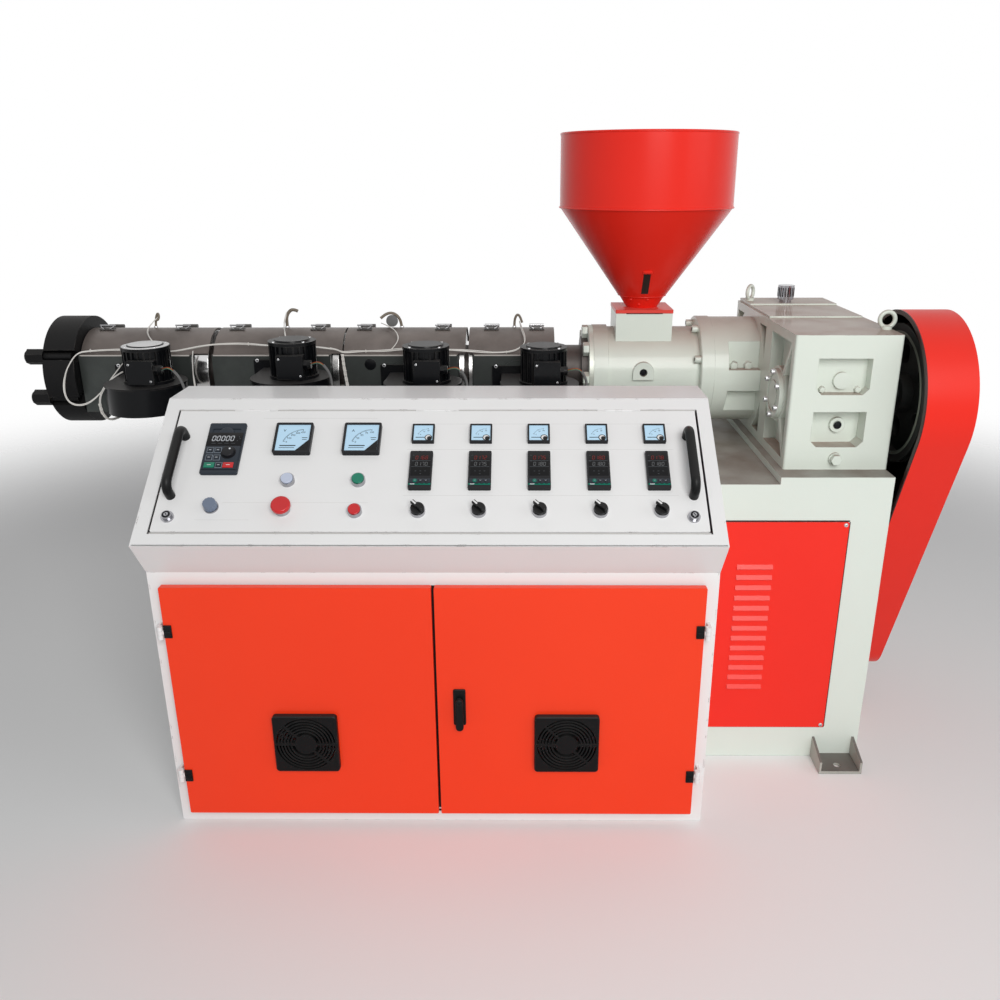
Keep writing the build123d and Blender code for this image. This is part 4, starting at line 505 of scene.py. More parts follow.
dress(console_white, "door_hinges", "console_sides", "console_wrap", "console_front", "console_apron",
      "console_panel_frame", "instrument_panel")
dress(door_orange, "door_left", "door_right")
dress(machine_green, "gearbox_fittings", "gearbox_housing", "bearing_cover", "thrust_housing", "feed_section",
      "guard_brackets")
dress(pedestal_green, "base_pedestal", "base_beam", "barrel_stand")
dress(foot_paint, "foot_plates")
dress(feed_red, "louvred_cover")
dress(plate_red, "hopper_base")
dress(hopper_red, "hopper")
dress(guard_red, "belt_guard")
dress(black_enamel, "blower_motors", "blower_volutes", "blower_brackets", "terminal_boxes")
dress(cast_black, "head_clamp", "head_rods")
dress(jacket_steel, "heater_jackets")
dress(burnt_steel, "barrel")
dress(leaf_steel, "jacket_hinges")
dress(jacket_steel, "outlet_collars")
dress(polished_steel, "barrel_bands")
dress(chrome, "control_bezels", "gearbox_breather")
dress(black_moulding, "door_latch", "latch_plate", "grille_left", "grille_right", "panel_handles",
      *("selector_knob_" + str(index + 1) for index in range(5)))
dress(case_black, "large_meters", "small_meters", "temperature_controllers")
dress(keypad_grey, "drive_keypad")
dress(knob_grey, "speed_knob")
dress(cap_red, "emergency_stop", "stop_button")
dress(cap_green, "start_button")
dress(cap_white, "reset_button")
dress(cast_grey, "driven_pulley", "motor_pulley")
dress(rubber, "drive_belts")
dress(smoked_pane, "hopper_window")

# %% [markdown]
# ## Small pieces
# Bolts, dials, keys and wires are fastened to the machine and are too small for CAD. A
# modeller turns, bevels and bends each one from a primitive. They are made in
# millimetres about the origin and set down by a place, a matrix whose z axis leaves the
# surface, so the same shape serves on any face.
# %% Places and shapes
screw_z = 912
console_left, console_middle, console_back = -1104, -504, -346
panel_nose = (-778, 712)
as_made = Matrix.Identity(4)


def on(point, normal, turn=0.0):
    """A place on a surface: z leaves it, y points up or back, and turn is in degrees."""
    out = Vector(normal).normalized()
    upright = Vector((0, 0, 1)) if abs(out.z) < 0.9 else Vector((0, 1, 0))
    across = upright.cross(out).normalized()
    axes = Matrix((across, out.cross(across), out)).transposed().to_4x4()
    return Matrix.Translation(point) @ axes @ Matrix.Rotation(math.radians(turn), 4, "Z")


slope_along = Vector((0, 306, 229)).normalized()
slope_out = Vector((0, -229, 306)).normalized()


def panel(x, up, height=1.0, turn=0.0):
    """A place on the sloping panel, from its left end, its nose and its face."""
    return on(Vector((console_left + x, *panel_nose)) + up * slope_along + height * slope_out, slope_out, turn)


def shift(x, y, z=0.0):
    """A small move within a place."""
    return Matrix.Translation((x, y, z))


def rod(radius, height, sides=24, edge=0.6, top=None):
    """A disc, a shaft or, with six sides, a bolt's head, its top edge bevelled."""
    shape = bmesh.new()
    bmesh.ops.create_cone(shape, cap_ends=True, segments=sides, radius1=radius,
                          radius2=radius if top is None else top, depth=height)
    bmesh.ops.translate(shape, verts=shape.verts, vec=(0, 0, height / 2))
    rim = [line for line in shape.edges if all(vert.co.z > height * 0.9 for vert in line.verts)]
    if edge:
        bmesh.ops.bevel(shape, geom=rim, offset=edge, segments=2, profile=0.5, affect="EDGES", material=-1)
    return shape


def block(width, length, height, edge=0.5):
    """A block on its base with softened edges."""
    shape = bmesh.new()
    bmesh.ops.create_cube(shape, size=1.0)
    bmesh.ops.scale(shape, verts=shape.verts, vec=(width, length, height))
    bmesh.ops.translate(shape, verts=shape.verts, vec=(0, 0, height / 2))
    if edge:
        bmesh.ops.bevel(shape, geom=shape.edges[:], offset=edge, segments=2, profile=0.5, affect="EDGES",
                        material=-1)
    return shape


def cut(shape, point, normal):
    """The shape with what lies beyond a plane taken off and the opening closed."""
    every = shape.verts[:] + shape.edges[:] + shape.faces[:]
    made = bmesh.ops.bisect_plane(shape, geom=every, plane_co=point, plane_no=normal, clear_outer=True)
    rim = [part for part in made["geom_cut"] if isinstance(part, bmesh.types.BMEdge)]
    bmesh.ops.holes_fill(shape, edges=rim)
    return shape


def hoop(radius, wire, steps=28, sides=8):
    """A full ring of round wire, spun from a circle."""
    shape = bmesh.new()
    bmesh.ops.create_circle(shape, segments=sides, radius=wire)
    bmesh.ops.rotate(shape, verts=shape.verts, matrix=Matrix.Rotation(math.pi / 2, 3, "X"))
    bmesh.ops.translate(shape, verts=shape.verts, vec=(radius, 0, 0))
    bmesh.ops.spin(shape, geom=shape.verts[:] + shape.edges[:], cent=(0, 0, 0), axis=(0, 0, 1),
                   angle=2 * math.pi, steps=steps, use_merge=True)
    return shape


def from_curve(curve):
    """A curve or text turned into a mesh shape."""
    holder = bpy.data.objects.new("former", curve)
    mesh = bpy.data.meshes.new_from_object(holder)
    shape = bmesh.new()
    shape.from_mesh(mesh)
    bpy.data.objects.remove(holder)
    bpy.data.meshes.remove(mesh)
    bpy.data.curves.remove(curve)
    bmesh.ops.remove_doubles(shape, verts=shape.verts, dist=0.001)
    return shape


def cable(points, radius, smooth=6):
    """A round wire along a smooth route through its points."""
    curve = bpy.data.curves.new("route", "CURVE")
    curve.dimensions = "3D"
    run = curve.splines.new("NURBS")
    run.points.add(len(points) - 1)
    for spot, point in zip(run.points, points):
        spot.co = (*point, 1)
    run.order_u = 3
    run.use_endpoint_u = True
    run.resolution_u = smooth
    curve.bevel_depth = radius
    curve.bevel_resolution = 2
    curve.use_fill_caps = True
    return from_curve(curve)


def lettering(text, size, thick=0.3):
    """Numbers or a unit letter, centred, as thin raised shapes."""
    curve = bpy.data.curves.new("figures", "FONT")
    curve.body = text
    curve.size = size
    curve.extrude = thick / 2
    curve.align_x = "CENTER"
    curve.align_y = "CENTER"
    curve.resolution_u = 2
    return from_curve(curve)


# %% A piece collects shapes and finishes
class Piece:
    """One visible piece: shapes in millimetres, each with its place and finish."""

    def __init__(self, name):
        self.name = name
        self.mesh = bmesh.new()
        self.finishes = []

    def add(self, shape, place, finish, smooth=True):
        """Sets a shape down and joins it to the piece."""
        if finish not in self.finishes:
            self.finishes.append(finish)
        bmesh.ops.transform(shape, matrix=place, verts=shape.verts)
        bmesh.ops.recalc_face_normals(shape, faces=shape.faces)
        for face in shape.faces:
            face.material_index = self.finishes.index(finish)
            face.smooth = smooth
        carrier = bpy.data.meshes.new("carrier")
        shape.to_mesh(carrier)
        shape.free()
        self.mesh.from_mesh(carrier)
        bpy.data.meshes.remove(carrier)

    def done(self, body):
        """Turns the piece into an object that rides on a body."""
        bmesh.ops.scale(self.mesh, verts=self.mesh.verts, vec=(0.001, 0.001, 0.001))
        data = bpy.data.meshes.new(self.name)
        self.mesh.to_mesh(data)
        self.mesh.free()
        for finish in self.finishes:
            data.materials.append(finish)
        data.set_sharp_from_angle(angle=math.radians(38))
        made = bpy.data.objects.new(self.name, data)
        bpy.context.scene.collection.objects.link(made)
        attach(made, body)
        print(self.name, len(data.polygons), "faces")
        return made


# %% [markdown]
# ## Instruments
# A moving-coil meter has a pale card with an arc of ticks, a needle that rests at zero
# and a black corner that hides the coil. The arc's ticks are one block set down again
# and again round the needle's pivot.
# %% Large meter cards
large_cards = Piece("large_meter_cards")
for meter_x, unit, figures in ((295, "V", ("0", "100", "200", "300", "450")),
                               (443, "A", ("0", "25", "50", "75", "100"))):
    face = panel(meter_x, 264, 10.5)
    large_cards.add(block(69.5, 69.5, 0.6, 0), face, dial_blue)
    corner = cut(block(69, 69, 1.8, 0.2), (8.8, -35, 0), (-29, 26.2, 0))
    large_cards.add(corner, face @ shift(0, 0, 0.3), black_moulding)
    for index in range(25):
        angle = math.radians(163 - index * 70 / 24)
        major = index % 6 == 0
        reach = 44.6 - (2.0 if major else 0.8)
        tick = face @ shift(22 + reach * math.cos(angle), -22 + reach * math.sin(angle), 0.6)
        large_cards.add(block(5.0 if major else 2.6, 0.9, 0.2, 0), tick @ Matrix.Rotation(angle, 4, "Z"), ink_and_shade)
        if major:
            spot = face @ shift(22 + 36.5 * math.cos(angle), -22 + 36.5 * math.sin(angle), 0.6)
            large_cards.add(lettering(figures[index // 6], 6.4), spot, ink_and_shade)
    large_cards.add(lettering(unit, 9.5), face @ shift(-20, 19, 0.6), ink_and_shade)
    for low, start, end, thick in ((-21, -26, 8, 2.2), (-26.5, -27, 6, 1.0), (0, 19, 31, 1.3),
                                   (-5, 20, 30, 1.0)):
        large_cards.add(block(end - start, thick, 0.5, 0.1), face @ shift((start + end) / 2, low, 0.6), ink_and_shade)
    large_cards.add(rod(1.6, 1.2, 16, 0.3), face @ shift(26, -28, 2.0), ink_and_shade)
large_cards.done("instrument_panel")

# %% Small meter cards
small_cards = Piece("small_meter_cards")
columns = [573.96 + 124.404 * index for index in range(5)]
for column_x in columns:
    face = panel(column_x, 279, 8.0)
    small_cards.add(block(40.6, 40.6, 0.5, 0), face, dial_blue)
    for index in range(11):
        angle = math.radians(158 - index * 7)
        long = 3.0 if index % 5 == 0 else 1.6
        tick = face @ shift(10 + 22 * math.cos(angle), -11 + 22 * math.sin(angle), 0.5)
        small_cards.add(block(long, 0.8, 0.2, 0), tick @ Matrix.Rotation(angle, 4, "Z"), ink_and_shade)
    for figure, angle in (("0", 156), ("10", 120), ("20", 88)):
        spot = math.radians(angle)
        place = face @ shift(10 + 17 * math.cos(spot), -11 + 17 * math.sin(spot), 0.5)
        small_cards.add(lettering(figure, 4.6), place, ink_and_shade)
    small_cards.add(block(24, 1.5, 0.6, 0.2), face @ shift(-4, -12, 0.5), ink_and_shade)
    small_cards.add(rod(8.0, 0.5, 28, 0.1), face @ shift(11.5, -12.5, 0.5), ink_and_shade)
    small_cards.add(rod(6.2, 0.7, 28, 0.1), face @ shift(11.5, -12.5, 0.6), mark_white)
    small_cards.add(rod(5.2, 1.6, 28, 0.5), face @ shift(14, -15, 0.6), black_moulding)
small_cards.done("instrument_panel")

# %% [markdown]
# ## Digits and keys
# The controllers show two rows of seven-segment digits behind a dark screen, over small
# lamps, three flat round keys and a coloured stripe. A digit is drawn by the bars that are lit,
# so one table serves the controllers and the drive's keypad.
# %% Seven-segment digits
lit_bars = {"0": "abcdef", "1": "bc", "2": "abdeg", "3": "abcdg", "4": "bcfg", "5": "acdfg", "6": "acdefg",
            "7": "abc", "8": "abcdefg", "9": "abcdfg"}
bar_places = {"a": (0, 1, 0), "b": (0.5, 0.5, 90), "c": (0.5, -0.5, 90), "d": (0, -1, 0), "e": (-0.5, -0.5, 90),
              "f": (-0.5, 0.5, 90), "g": (0, 0, 0)}


def digits(piece, place, figures, height, finish, lean=0.12):
    """A row of seven-segment digits, centred on a place."""
    width = height * 0.5
    pitch = height * 0.8
    for index, figure in enumerate(figures):
        middle = (index - (len(figures) - 1) / 2) * pitch
        for bar in lit_bars[figure]:
            x, y, turn = bar_places[bar]
            long = height * 0.42 if turn else width * 0.8
            spot = shift(middle + x * width + lean * y * height / 2, y * height / 2)
            bar_place = place @ spot @ Matrix.Rotation(math.radians(turn), 4, "Z")
            piece.add(block(long, height * 0.11, 0.3, 0.1), bar_place, finish)


screens = Piece("controller_screens")
measured = ("0168", "0172", "0175", "0180", "0178")
wanted = ("0170", "0175", "0180", "0180", "0180")
for column_x, above, below in zip(columns, measured, wanted):
    face = panel(column_x, 182, 10.0)
    screens.add(block(41, 59, 1.6, 0.4), face @ shift(0, 13, -1.4), screen_black)
    digits(screens, face @ shift(1, 30, 0.2), above, 8.6, digit_red)
    digits(screens, face @ shift(1, 13.7, 0.2), below, 8.6, digit_grey)
    for low in (22, 6.6):
        screens.add(block(40, 0.8, 0.3, 0.1), face @ shift(0, low, 0.2), digit_dim)
    for x, low in ((-10, -4.5), (0, -4.5), (10, -4.5), (0, -11.5), (-17, 36), (-17, 21)):
        screens.add(block(3.4, 1.0, 0.3, 0.1), face @ shift(x, low, 0.2), digit_dim)
    screens.add(block(44, 11, 1.4, 0.3), face @ shift(0, -29.5, 0), keypad_grey)
    for x, finish in ((-10, stripe_green), (2, case_black), (13, case_black)):
        screens.add(rod(4.4, 1.0, 20, 0.4), face @ shift(x, -29.5, 1.2), finish)
        for turn in (45, 135):
            stroke = face @ shift(x, -29.5, 2.2) @ Matrix.Rotation(math.radians(turn), 4, "Z")
            screens.add(block(5.4, 0.8, 0.3, 0.1), stroke, key_grey)
    screens.add(block(46, 4, 0.6, 0.2), face @ shift(0, -37.5, 0), stripe_green)
    screens.add(block(9, 2.2, 0.3, 0.1), face @ shift(-15, -37.5, 0.6), digit_pale)
screens.done("instrument_panel")

# %% The drive's keypad
keypad = Piece("keypad_face")
face = panel(148.56, 234, 9.0)
keypad.add(block(75, 36, 2.2, 0.6), face @ shift(0, 26), screen_black)
digits(keypad, face @ shift(-3, 28, 2.2), "00000", 12.4, digit_pale)
for x in (-22, -8, 6, 20):
    keypad.add(block(9, 1.0, 0.3, 0.1), face @ shift(x, 15, 2.2), digit_dim)
for x, up in ((31, 32), (33, 27), (28, 22)):
    keypad.add(rod(1.0, 0.4, 10, 0.1), face @ shift(x, up, 2.2), digit_dim)
keypad.add(block(74, 61, 2.2, 0.8), face @ shift(0, -22), keypad_grey)
keypad.add(rod(18.5, 4.6, 36, 2.0, top=15), face @ shift(0, 43, -2.6), keypad_grey)
for x, up in ((-25, -3.5), (-8.3, -3.5), (-24.7, -22.8), (-8.4, -22.8), (-0.5, -42.5)):
    keypad.add(block(14.4, 14.4, 0.8, 0.3), face @ shift(x, up, 2.0), key_grey)
    keypad.add(block(12.4, 12.4, 0.8, 0.3), face @ shift(x, up, 2.2), case_black)
    keypad.add(rod(5.4, 1.6, 24, 0.5), face @ shift(x, up, 2.4), keypad_grey)
    keypad.add(block(5, 1.0, 0.3, 0.1), face @ shift(x, up, 4.0), digit_pale)
for x, finish in ((-20.6, cap_green), (19.5, cap_red)):
    keypad.add(block(22.3, 13.4, 2.0, 0.6), face @ shift(x, -42.5, 2.0), finish)
    keypad.add(block(8, 1.2, 0.3, 0.1), face @ shift(x, -42.5, 4.0), mark_white)
keypad.add(rod(16, 0.8, 36, 0.3), face @ shift(14.2, -9.7, 2.1), screen_black)
keypad.add(rod(14.4, 7, 36, 1.4, top=13), face @ shift(14.2, -9.7, 2.4), case_black)
keypad.add(rod(2.2, 0.5, 16, 0.2), face @ shift(18, -4, 9.3), digit_pale)
keypad.done("instrument_panel")

# %% [markdown]
# ## Panel trim
# The painted panel carries faint scribed lines and two key-locks with a dark face and a
# slot, the slot a dark mark of painted shade. Round each opening lies a strip that shows in
# the gaps: dark rubber by the doors, and light grey under the panel's gaps, a painted
# highlight of their edges. A hinge on these doors is a black die-cast leaf, let into the door's edge.
# %% Lines, locks, seal strips and hinge leaves
trim = Piece("panel_trim")
for up, start, end in ((325, 220, 470), (309, 540, 1110), (240, 540, 1110), (122, 540, 1110),
                       (104, 170, 470), (62, 120, 230)):
    trim.add(block(end - start, 0.5, 0.15, 0), panel((start + end) / 2, up, 0.98), digit_faint)
for lock_x in (64, 1136):
    trim.add(rod(8.6, 1.0, 28, 0.3), panel(lock_x, 68, 12.2), ink_and_shade)
    trim.add(rod(4.6, 1.6, 20, 0.4), panel(lock_x, 68, 12.6), chrome)
    # The key slot is a dark mark of painted shade.
    trim.add(block(1.6, 7, 0.4, 0.1), panel(lock_x, 68, 14.2, 35), ink_and_shade)
trim.done("instrument_panel")

seals = Piece("console_seals")
seals.add(block(14, 562, 2.0, 0.4), on((console_middle, -718, 318), (0, -1, 0)), rubber)
for low in (24, 588):
    seals.add(block(1130, 5, 1.4, 0.4), on((console_middle, -718, low + 5), (0, -1, 0)), rubber)
# Light grey strips in the panel's gaps: a painted highlight of the gaps' edges.
for up, wide in ((347.7, 4.8), (31.5, 4.8)):
    seals.add(block(1136, wide, 0.3, 0), panel(600, up, -2.5), gap_highlight_grey)
seals.done("root")

for door, leaf_x in (("door_left", -1067.5), ("door_right", 59.5)):
    leaf = Piece(door + "_leaves")
    for middle_z in (136.5, 500):
        leaf.add(block(17.5, 30, 3.4, 1.2), on((leaf_x, -738, middle_z), (0, -1, 0)), black_moulding)
        leaf.add(block(11, 9, 2.0, 0.8), on((leaf_x, -741, middle_z - 5), (0, -1, 0)), black_moulding)
    leaf.done(door)

for index, column_x in enumerate(columns):
    mark = Piece("selector_mark_" + str(index + 1))
    pointer = panel(column_x, 82, 19.5, 45)
    mark.add(block(8.5, 17, 8.2, 1.4), pointer @ shift(0, 7.5), black_moulding)
    mark.add(block(3.6, 12.5, 0.9, 0.2), pointer @ shift(0, 9.8, 7.9), mark_white)
    mark.done("selector_knob_" + str(index + 1))

# %% [markdown]
# ## Bolts
# Hexagon bolts clamp the barrel's flange, and socket screws the flange of the thrust
# housing. A bolt here is a washer, a six-sided head and a slightly domed end. A socket
# screw is a round head with a flat dark hexagon on top, painted shade for its six-sided hollow.
# %% Bolt shapes
def hex_bolt(piece, place, flats, height, finish, washer=True):
    """A hexagon head on a washer."""
    if washer:
        piece.add(rod(flats * 0.62, 1.6, 24, 0.4), place, finish)
    piece.add(rod(flats / math.sqrt(3), height, 6, flats * 0.05), place @ shift(0, 0, 1.2), finish)
    piece.add(rod(flats * 0.44, 0.8, 20, 0.4), place @ shift(0, 0, height + 1.0), finish)


def cap_screw(piece, place, radius, height, finish, socket_shade=None):
    """A round socket head with a flat dark hexagon on top, painted shade for its hollow."""
    piece.add(rod(radius, height, 24, radius * 0.12), place, finish)
    piece.add(rod(radius * 0.55, 0.3, 6, 0), place @ shift(0, 0, height), socket_shade or ink_and_shade)


bolts = Piece("machine_bolts")
for index in range(8):
    angle = math.radians(45 * index - 4)
    spot = (-141, -101 * math.cos(angle), screw_z + 101 * math.sin(angle))
    hex_bolt(bolts, on(spot, (-1, 0, 0), 10 * index), 31, 15, machine_green, washer=False)
    angle = math.radians(45 * index + 22)
    spot = (145, -124 * math.cos(angle), screw_z + 124 * math.sin(angle))
    cap_screw(bolts, on(spot, (-1, 0, 0)), 9.5, 16, machine_green)
for index in range(6):
    angle = math.radians(30 + 60 * index)
    spot = (287, -296 + 52 * math.cos(angle), screw_z + 52 * math.sin(angle))
    cap_screw(bolts, on(spot, (-1, 0, 0)), 6.5, 8, zinc)
for x in (231, 268):
    hex_bolt(bolts, on((x + 2, -104, 941), (0, -1, 0), 15), 19, 10, machine_green)
for x in (376, 458):
    hex_bolt(bolts, on((x, -379, 940), (0, -1, 0), 12), 13, 7, machine_green)
for x in (144, 439):
    for z in (95, 638):
        bolts.add(rod(5.2, 2.6, 20, 1.0, top=4.2), on((x, -471, z), (0, -1, 0)), zinc)
        # The screw's slot is a dark mark of painted shade.
        bolts.add(block(6.4, 1.0, 0.3, 0), on((x, -473.6, z), (0, -1, 0), 30), ink_and_shade)
for wide, high, x, z in ((313, 3.2, 291.5, 647), (313, 1.6, 291.5, 86.8), (2.4, 557, 448.6, 366)):
    bolts.add(block(wide, high, 0.5, 0), on((x, -468, z), (0, -1, 0)), ink_and_shade)
bolts.add(rod(113, 1.2, 64, 0.4), on((-141, 0, screw_z), (-1, 0, 0)), machine_green)
# Dark strips round the breather's cap: painted shade in its flutes.
for index in range(20):
    angle = math.radians(18 * index)
    spot = (404 + 21.2 * math.cos(angle), 82 + 21.2 * math.sin(angle), 1106)
    bolts.add(block(2.4, 24, 0.9, 0.3), on(spot, (math.cos(angle), math.sin(angle), 0)), ink_and_shade)
# A dark hexagon and a dark disc: painted shade in a hole and in the drain plug's socket.
bolts.add(rod(9.8, 1.0, 6, 0.2), on((-2, -112, 924), (0, -1, 0)), ink_and_shade)
bolts.add(rod(8.9, 1.0, 20, 0.2), on((425.5, -374, 852.6), (0, -1, 0)), ink_and_shade)
bolts.done("root")

# %% The driven pulley's rim: a flat light ring, a painted highlight of the rim's lit edge
rim = Piece("pulley_rim")
rim_place = on((580.4, -296, screw_z), (-1, 0, 0)) @ Matrix.Scale(0.3, 4, (0, 0, 1))
rim.add(hoop(144, 4.2, 72, 8), rim_place, rim_highlight_grey)
rim.done("driven_pulley")

# %% [markdown]
# ## Hopper details
# The collar under the hopper's cone is rolled from strip, so it has a lapped seam with
# rivets, and a small folded hood sits over the sight window.
# %% Seam, rivets and hood
def on_cone(angle, z, radius, lean=0.0):
    """A place on a round of the hopper, angle in degrees from its front."""
    turn = math.radians(angle)
    out = Vector((math.sin(turn), -math.cos(turn), lean))
    return on((radius * math.sin(turn), -radius * math.cos(turn), z), out)


hopper_trim = Piece("hopper_trim")
for angle, z, radius in ((-37, 1102, 56), (8.2, 1103, 56.6), (-14.6, 1089, 47.5)):
    hopper_trim.add(rod(3.4, 2.2, 16, 1.0, top=2.4), on_cone(angle, z, radius, -0.65), feed_red)
hopper_trim.add(hoop(62.8, 1.1, 64, 8), Matrix.Translation((0, 0, 1109)), feed_red)
hopper_trim.add(block(23, 7, 4, 1.2), on_cone(-1.0, 1178, 111.6, -0.71), feed_red)
hopper_trim.add(block(94, 3, 2.0, 0.4), on((0, -73.5, 1068.6), (0, 0, 1)), rubber)
hopper_trim.done("root")

# %% [markdown]
# ## Blowers and jackets
# Each blower's cap is held by four screws and its gland is ribbed. The jackets close
# with spring clasps: a leaf under the hinge and a wire loop over its knuckle. A light
# strip along the top of each jacket's front plate is a painted highlight on its ledge.
# %% Blower screws and gland ribs
blower_xs = (-1246, -883, -554, -264)
blower_y = -223
blower_lifts = (0, 13, 0, -3)
blower_trim = Piece("blower_trim")
for number, (blower_x, lift) in enumerate(zip(blower_xs, blower_lifts)):
    top = 1015 + lift
    for index in range(4):
        angle = math.radians(45 + 90 * index)
        spot = (blower_x + 51 * math.cos(angle), blower_y + 51 * math.sin(angle), top)
        cap_screw(blower_trim, on(spot, (0, 0, 1)), 3.4, 2.4, zinc)
    if number == 0:
        blower_trim.add(rod(56, 1.2, 48, 0.5), on((blower_x, blower_y, top), (0, 0, 1)), mark_white)
        blower_trim.add(rod(41, 1.4, 48, 0.5), on((blower_x, blower_y, top + 3.6), (0, 0, 1)), mark_white)
    for index in range(3):
        gland = on((blower_x + 49.5 + 3 * index, -281, 966 + lift), (1, 0, 0))
        blower_trim.add(hoop(10, 0.9, 24, 6), gland, black_moulding)
    cap_screw(blower_trim, on((blower_x - 121, -117, 944 + lift), (0, -1, 0)), 4.5, 2.4, zinc)
    for side_x, side_z in ((25, 8), (-25, 49)):
        spot = (blower_x + 7 + side_x, -295, 932 + lift + side_z)
        cap_screw(blower_trim, on(spot, (0, -1, 0)), 2.6, 1.6, zinc)
blower_trim.done("root")

# %% Jacket clasps
clasps = Piece("jacket_clasps")
for start, length in ((-1472, 294), (-1124, 309), (-783, 300), (-445, 213)):
    for x in (start + 46, start + length - 46):
        lean = math.radians(83)
        out = Vector((0, -math.cos(lean), math.sin(lean)))
        down = Vector((0, -math.sin(lean), -math.cos(lean)))
        middle = Vector((x, 0, screw_z)) + out * 110.8
        for move, wide in ((-7, 36), (9, 40)):
            clasps.add(block(wide, 7, 1.6, 0.5), on(middle + down * move, out), leaf_steel)
        clasps.add(block(12, 18, 2.2, 0.6), on(middle + out * 0.6, out), leaf_steel)
        for side in (-1, 1):
            ends = [middle + Vector((side * wide, 0, 0)) + down * move + out * lift
                    for wide, move, lift in ((8, 9, 3), (16, 8, 6), (17, 0, 9), (16, -6, 9), (8, -7, 6))]
            clasps.add(cable(ends, 1.4), as_made, clasp_steel)
        clasps.add(cable([middle + Vector((wide, 0, 0)) + out * 9.5 for wide in (-20, 0, 20)], 2.2), as_made,
                   clasp_steel)
    # A light strip on each ledge: a painted highlight.
    ledge = on((start + length / 2, -109.6, 968.2), (0, -1, 0))
    clasps.add(block(length - 8, 3.4, 0.9, 0.2), ledge, ledge_highlight)
clasps.add(rod(15, 1.4, 32, 0.4), on((-712, -110, 945), (0, -1, 0)), black_enamel)
clasps.done("root")

# %% [markdown]
# ## Wires
# The heaters are fed by white glass-sleeved wires that lie on the jackets' ledges,
# gathered by ties, and loop out past the head. Each route is a smooth line through
# points read off the photograph and is swept with a round section. The blowers' leads
# leave their glands as three coloured wires and run down inside a grey sleeve. The first
# blower stands past the console's end, so its sleeve bends inward to reach the back.
# %% Heater wires
wires = Piece("heater_wires")
routes = (
    ((-1335, -165, 957), (-1380, -140, 913), (-1415, -130, 877), (-1438, -135, 856), (-1461, -145, 844),
     (-1484, -155, 846), (-1499, -158, 864), (-1500, -158, 895), (-1491, -155, 928), (-1480, -140, 958),
     (-1471, -112, 976), (-1441, -104, 979), (-1402, -104, 981), (-1362, -104, 982), (-1300, -104, 979),
     (-1232, -104, 976), (-1201, -104, 980), (-1139, -104, 993), (-1077, -104, 998), (-1027, -104, 996),
     (-978, -104, 992), (-915, -104, 990), (-850, -104, 989), (-812, -104, 983)),
    ((-1338, -165, 935), (-1375, -150, 917), (-1403, -140, 891), (-1418, -135, 867), (-1425, -132, 844),
     (-1422, -132, 823), (-1415, -130, 805), (-1409, -112, 795), (-1402, -70, 794), (-1390, -30, 798),
     (-1382, -10, 806)),
    ((-816, -104, 985), (-797, -104, 982), (-783, -110, 975), (-755, -104, 976), (-723, -104, 977),
     (-676, -104, 978), (-629, -104, 983), (-560, -104, 984), (-507, -104, 980), (-470, -104, 979),
     (-414, -104, 974), (-395, -104, 973), (-358, -104, 974), (-334, -104, 978), (-318, -104, 988),
     (-309, -104, 999), (-311, -80, 1013), (-318, -40, 1025), (-323, 0, 1038)),
    ((-1173, -106, 979), (-1177, -114, 940), (-1176, -118, 900), (-1168, -134, 866), (-1140, -200, 838),
     (-1105, -280, 824), (-1085, -330, 817), (-1082, -347, 816)),
    ((-1303, 10, 1045), (-1314, -10, 1033), (-1312, -40, 1021), (-1291, -90, 1015), (-1265, -120, 1000),
     (-1250, -112, 978)),
    ((-950, 10, 1061), (-952, -10, 1044), (-948, -40, 1029), (-932, -95, 1015), (-925, -106, 990)),
    ((-695, 0, 1034), (-669, -30, 1031), (-649, -60, 1022), (-640, -80, 1009), (-643, -100, 994),
     (-657, -104, 981)),
)
for route in routes:
    for number, (dy, dz) in enumerate(((0, 0), (2.6, 0.5), (0.6, 2.4))):
        wander = [(x + random.uniform(-2, 2) * (index > 0), y + dy + random.uniform(-1, 1),
                   z + dz + random.uniform(-1.2, 1.2))
                  for index, (x, y, z) in enumerate(route)]
        if number < 2 or len(route) > 8:
            wires.add(cable(wander, 1.15), as_made, wire_white)
bundles = (
    ((-1424, -134, 846), (-1422, -133, 822), (-1414, -130, 806), (-1407, -110, 796), (-1398, -60, 795),
     (-1382, -10, 806)),
    ((-783, -112, 972), (-780, -119, 950), (-777, -120, 922), (-773, -121, 893), (-771, -128, 868),
     (-770, -165, 843), (-769, -230, 826), (-768, -300, 818), (-768, -347, 816)),
)
for route in bundles:
    for number in range(4):
        strand = []
        for index, (x, y, z) in enumerate(route[:-1]):
            for part in range(3):
                spot = Vector((x, y, z)).lerp(Vector(route[index + 1]), part / 3)
                angle = number * math.pi / 2 + (3 * index + part) * 1.1
                strand.append(spot + Vector((3.2 * math.cos(angle), 3.2 * math.sin(angle), 0)))
        wires.add(cable(strand + [Vector(route[-1])], 1.3, 3), as_made, wire_white)
for x in (-1082, -768):
    wires.add(rod(8, 3, 24, 0.8), on((x, console_back, 816), (0, 1, 0)), black_moulding)
for x, y, z, axis in ((-1441, -103, 980, (1, 0, 0)), (-1027, -103, 997, (1, 0, 0)), (-723, -103, 978, (1, 0, 0)),
                      (-777, -120, 930, (0, 0, 1)), (-358, -103, 975, (1, 0, 0)), (-560, -103, 985, (1, 0, 0))):
    wires.add(hoop(3.6, 0.9, 18, 6), on((x, y, z), axis), wire_white)
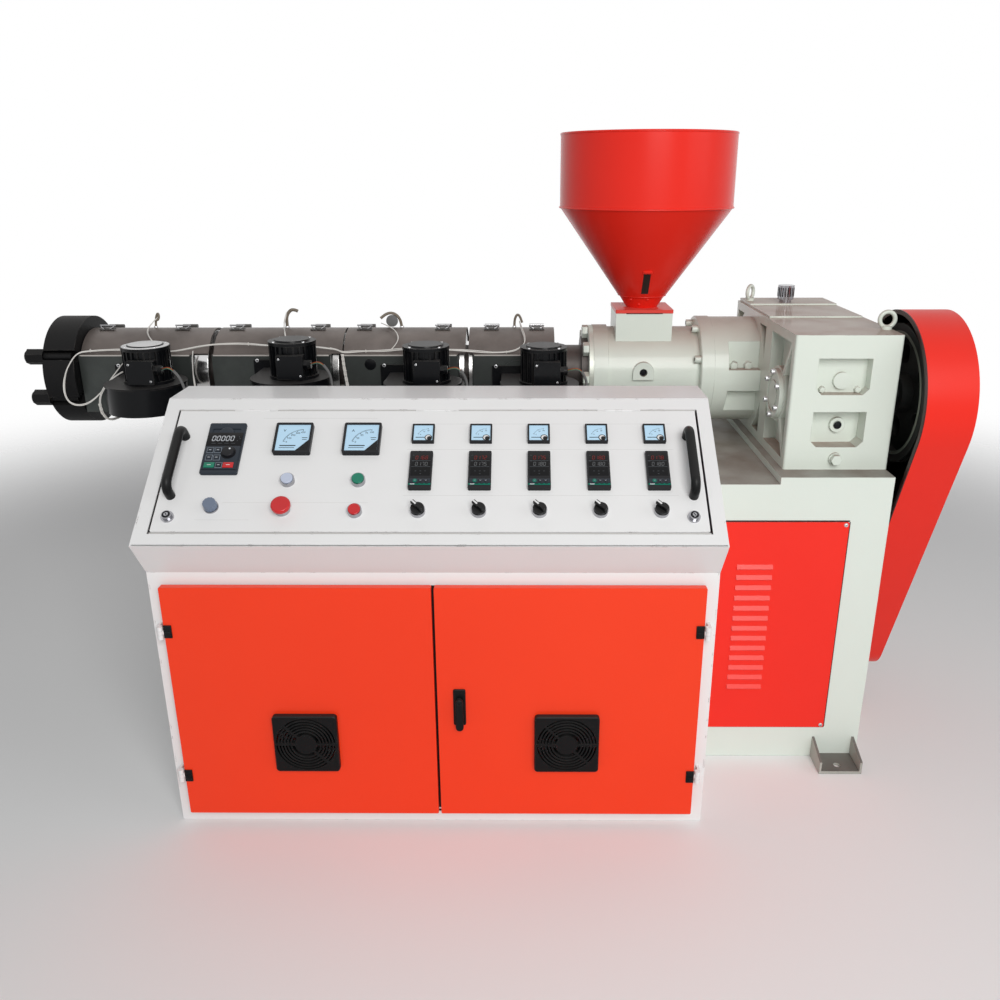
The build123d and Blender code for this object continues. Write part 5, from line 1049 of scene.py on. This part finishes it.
tails = (
    (3.2, ((-1310, 18, 1014), (-1310, 18, 1024), (-1308, 18, 1040), (-1305, 18, 1052),
           (-1299, 16, 1060), (-1296, 14, 1050), (-1301, 12, 1039), (-1306, 12, 1044))),
    (4.3, ((-953, 18, 1014), (-953, 18, 1030), (-953, 18, 1048), (-946, 18, 1062),
           (-934, 18, 1070), (-921, 18, 1064))),
    (3.8, ((-642, 18, 1014), (-643, 18, 1026), (-646, 18, 1041), (-655, 18, 1054),
           (-670, 18, 1060), (-687, 16, 1055), (-698, 14, 1045))),
    (3.3, ((-338, 18, 1014), (-338, 18, 1030), (-336, 18, 1046), (-329, 18, 1056),
           (-321, 16, 1047), (-317, 14, 1033))),
)
for radius, tail in tails:
    wires.add(cable(tail, radius), as_made, braid)
    wires.add(rod(radius + 2.2, 5, 24, 0.8), on((tail[0][0], 18, 1019.5), (0, 0, 1)), zinc)
wires.add(rod(16, 1.6, 24, 0.4), on((-668, 17, 1038), (0, -1, 0)), sleeve_grey)
wires.done("root")

# %% Blower leads
leads = Piece("blower_leads")
for blower_x, lift in zip(blower_xs, blower_lifts):
    middle = ((55, -281, 966), (68, -290, 972), (80, -297, 974), (90, -298, 968), (98, -292, 955),
              (103, -286, 938), (106, -284, 905), (105, -300, 860), (102, -330, 825), (101, -346, 812))
    inward = max(0, console_left + 42 - blower_x - middle[-1][0])
    line = [(blower_x + x + share * inward, y, z + lift + 0.4 * share * inward)
            for (x, y, z), share in zip(middle, (0, 0, 0, 0, 0, 0, 0.05, 0.4, 0.8, 1))]
    for finish, dy, dz in ((lead_red, 0, 2.2), (lead_yellow, 2.0, -1.4), (lead_blue, -2.0, -1.4)):
        leads.add(cable([(x, y + dy * 0.7, z + dz * 0.7) for x, y, z in line[:5]], 0.95), as_made, finish)
    leads.add(cable(line[3:], 3.3), as_made, sleeve_grey)
    leads.add(rod(9, 3, 24, 0.8), on((line[-1][0], console_back, line[-1][2]), (0, 1, 0)), black_moulding)
leads.done("root")
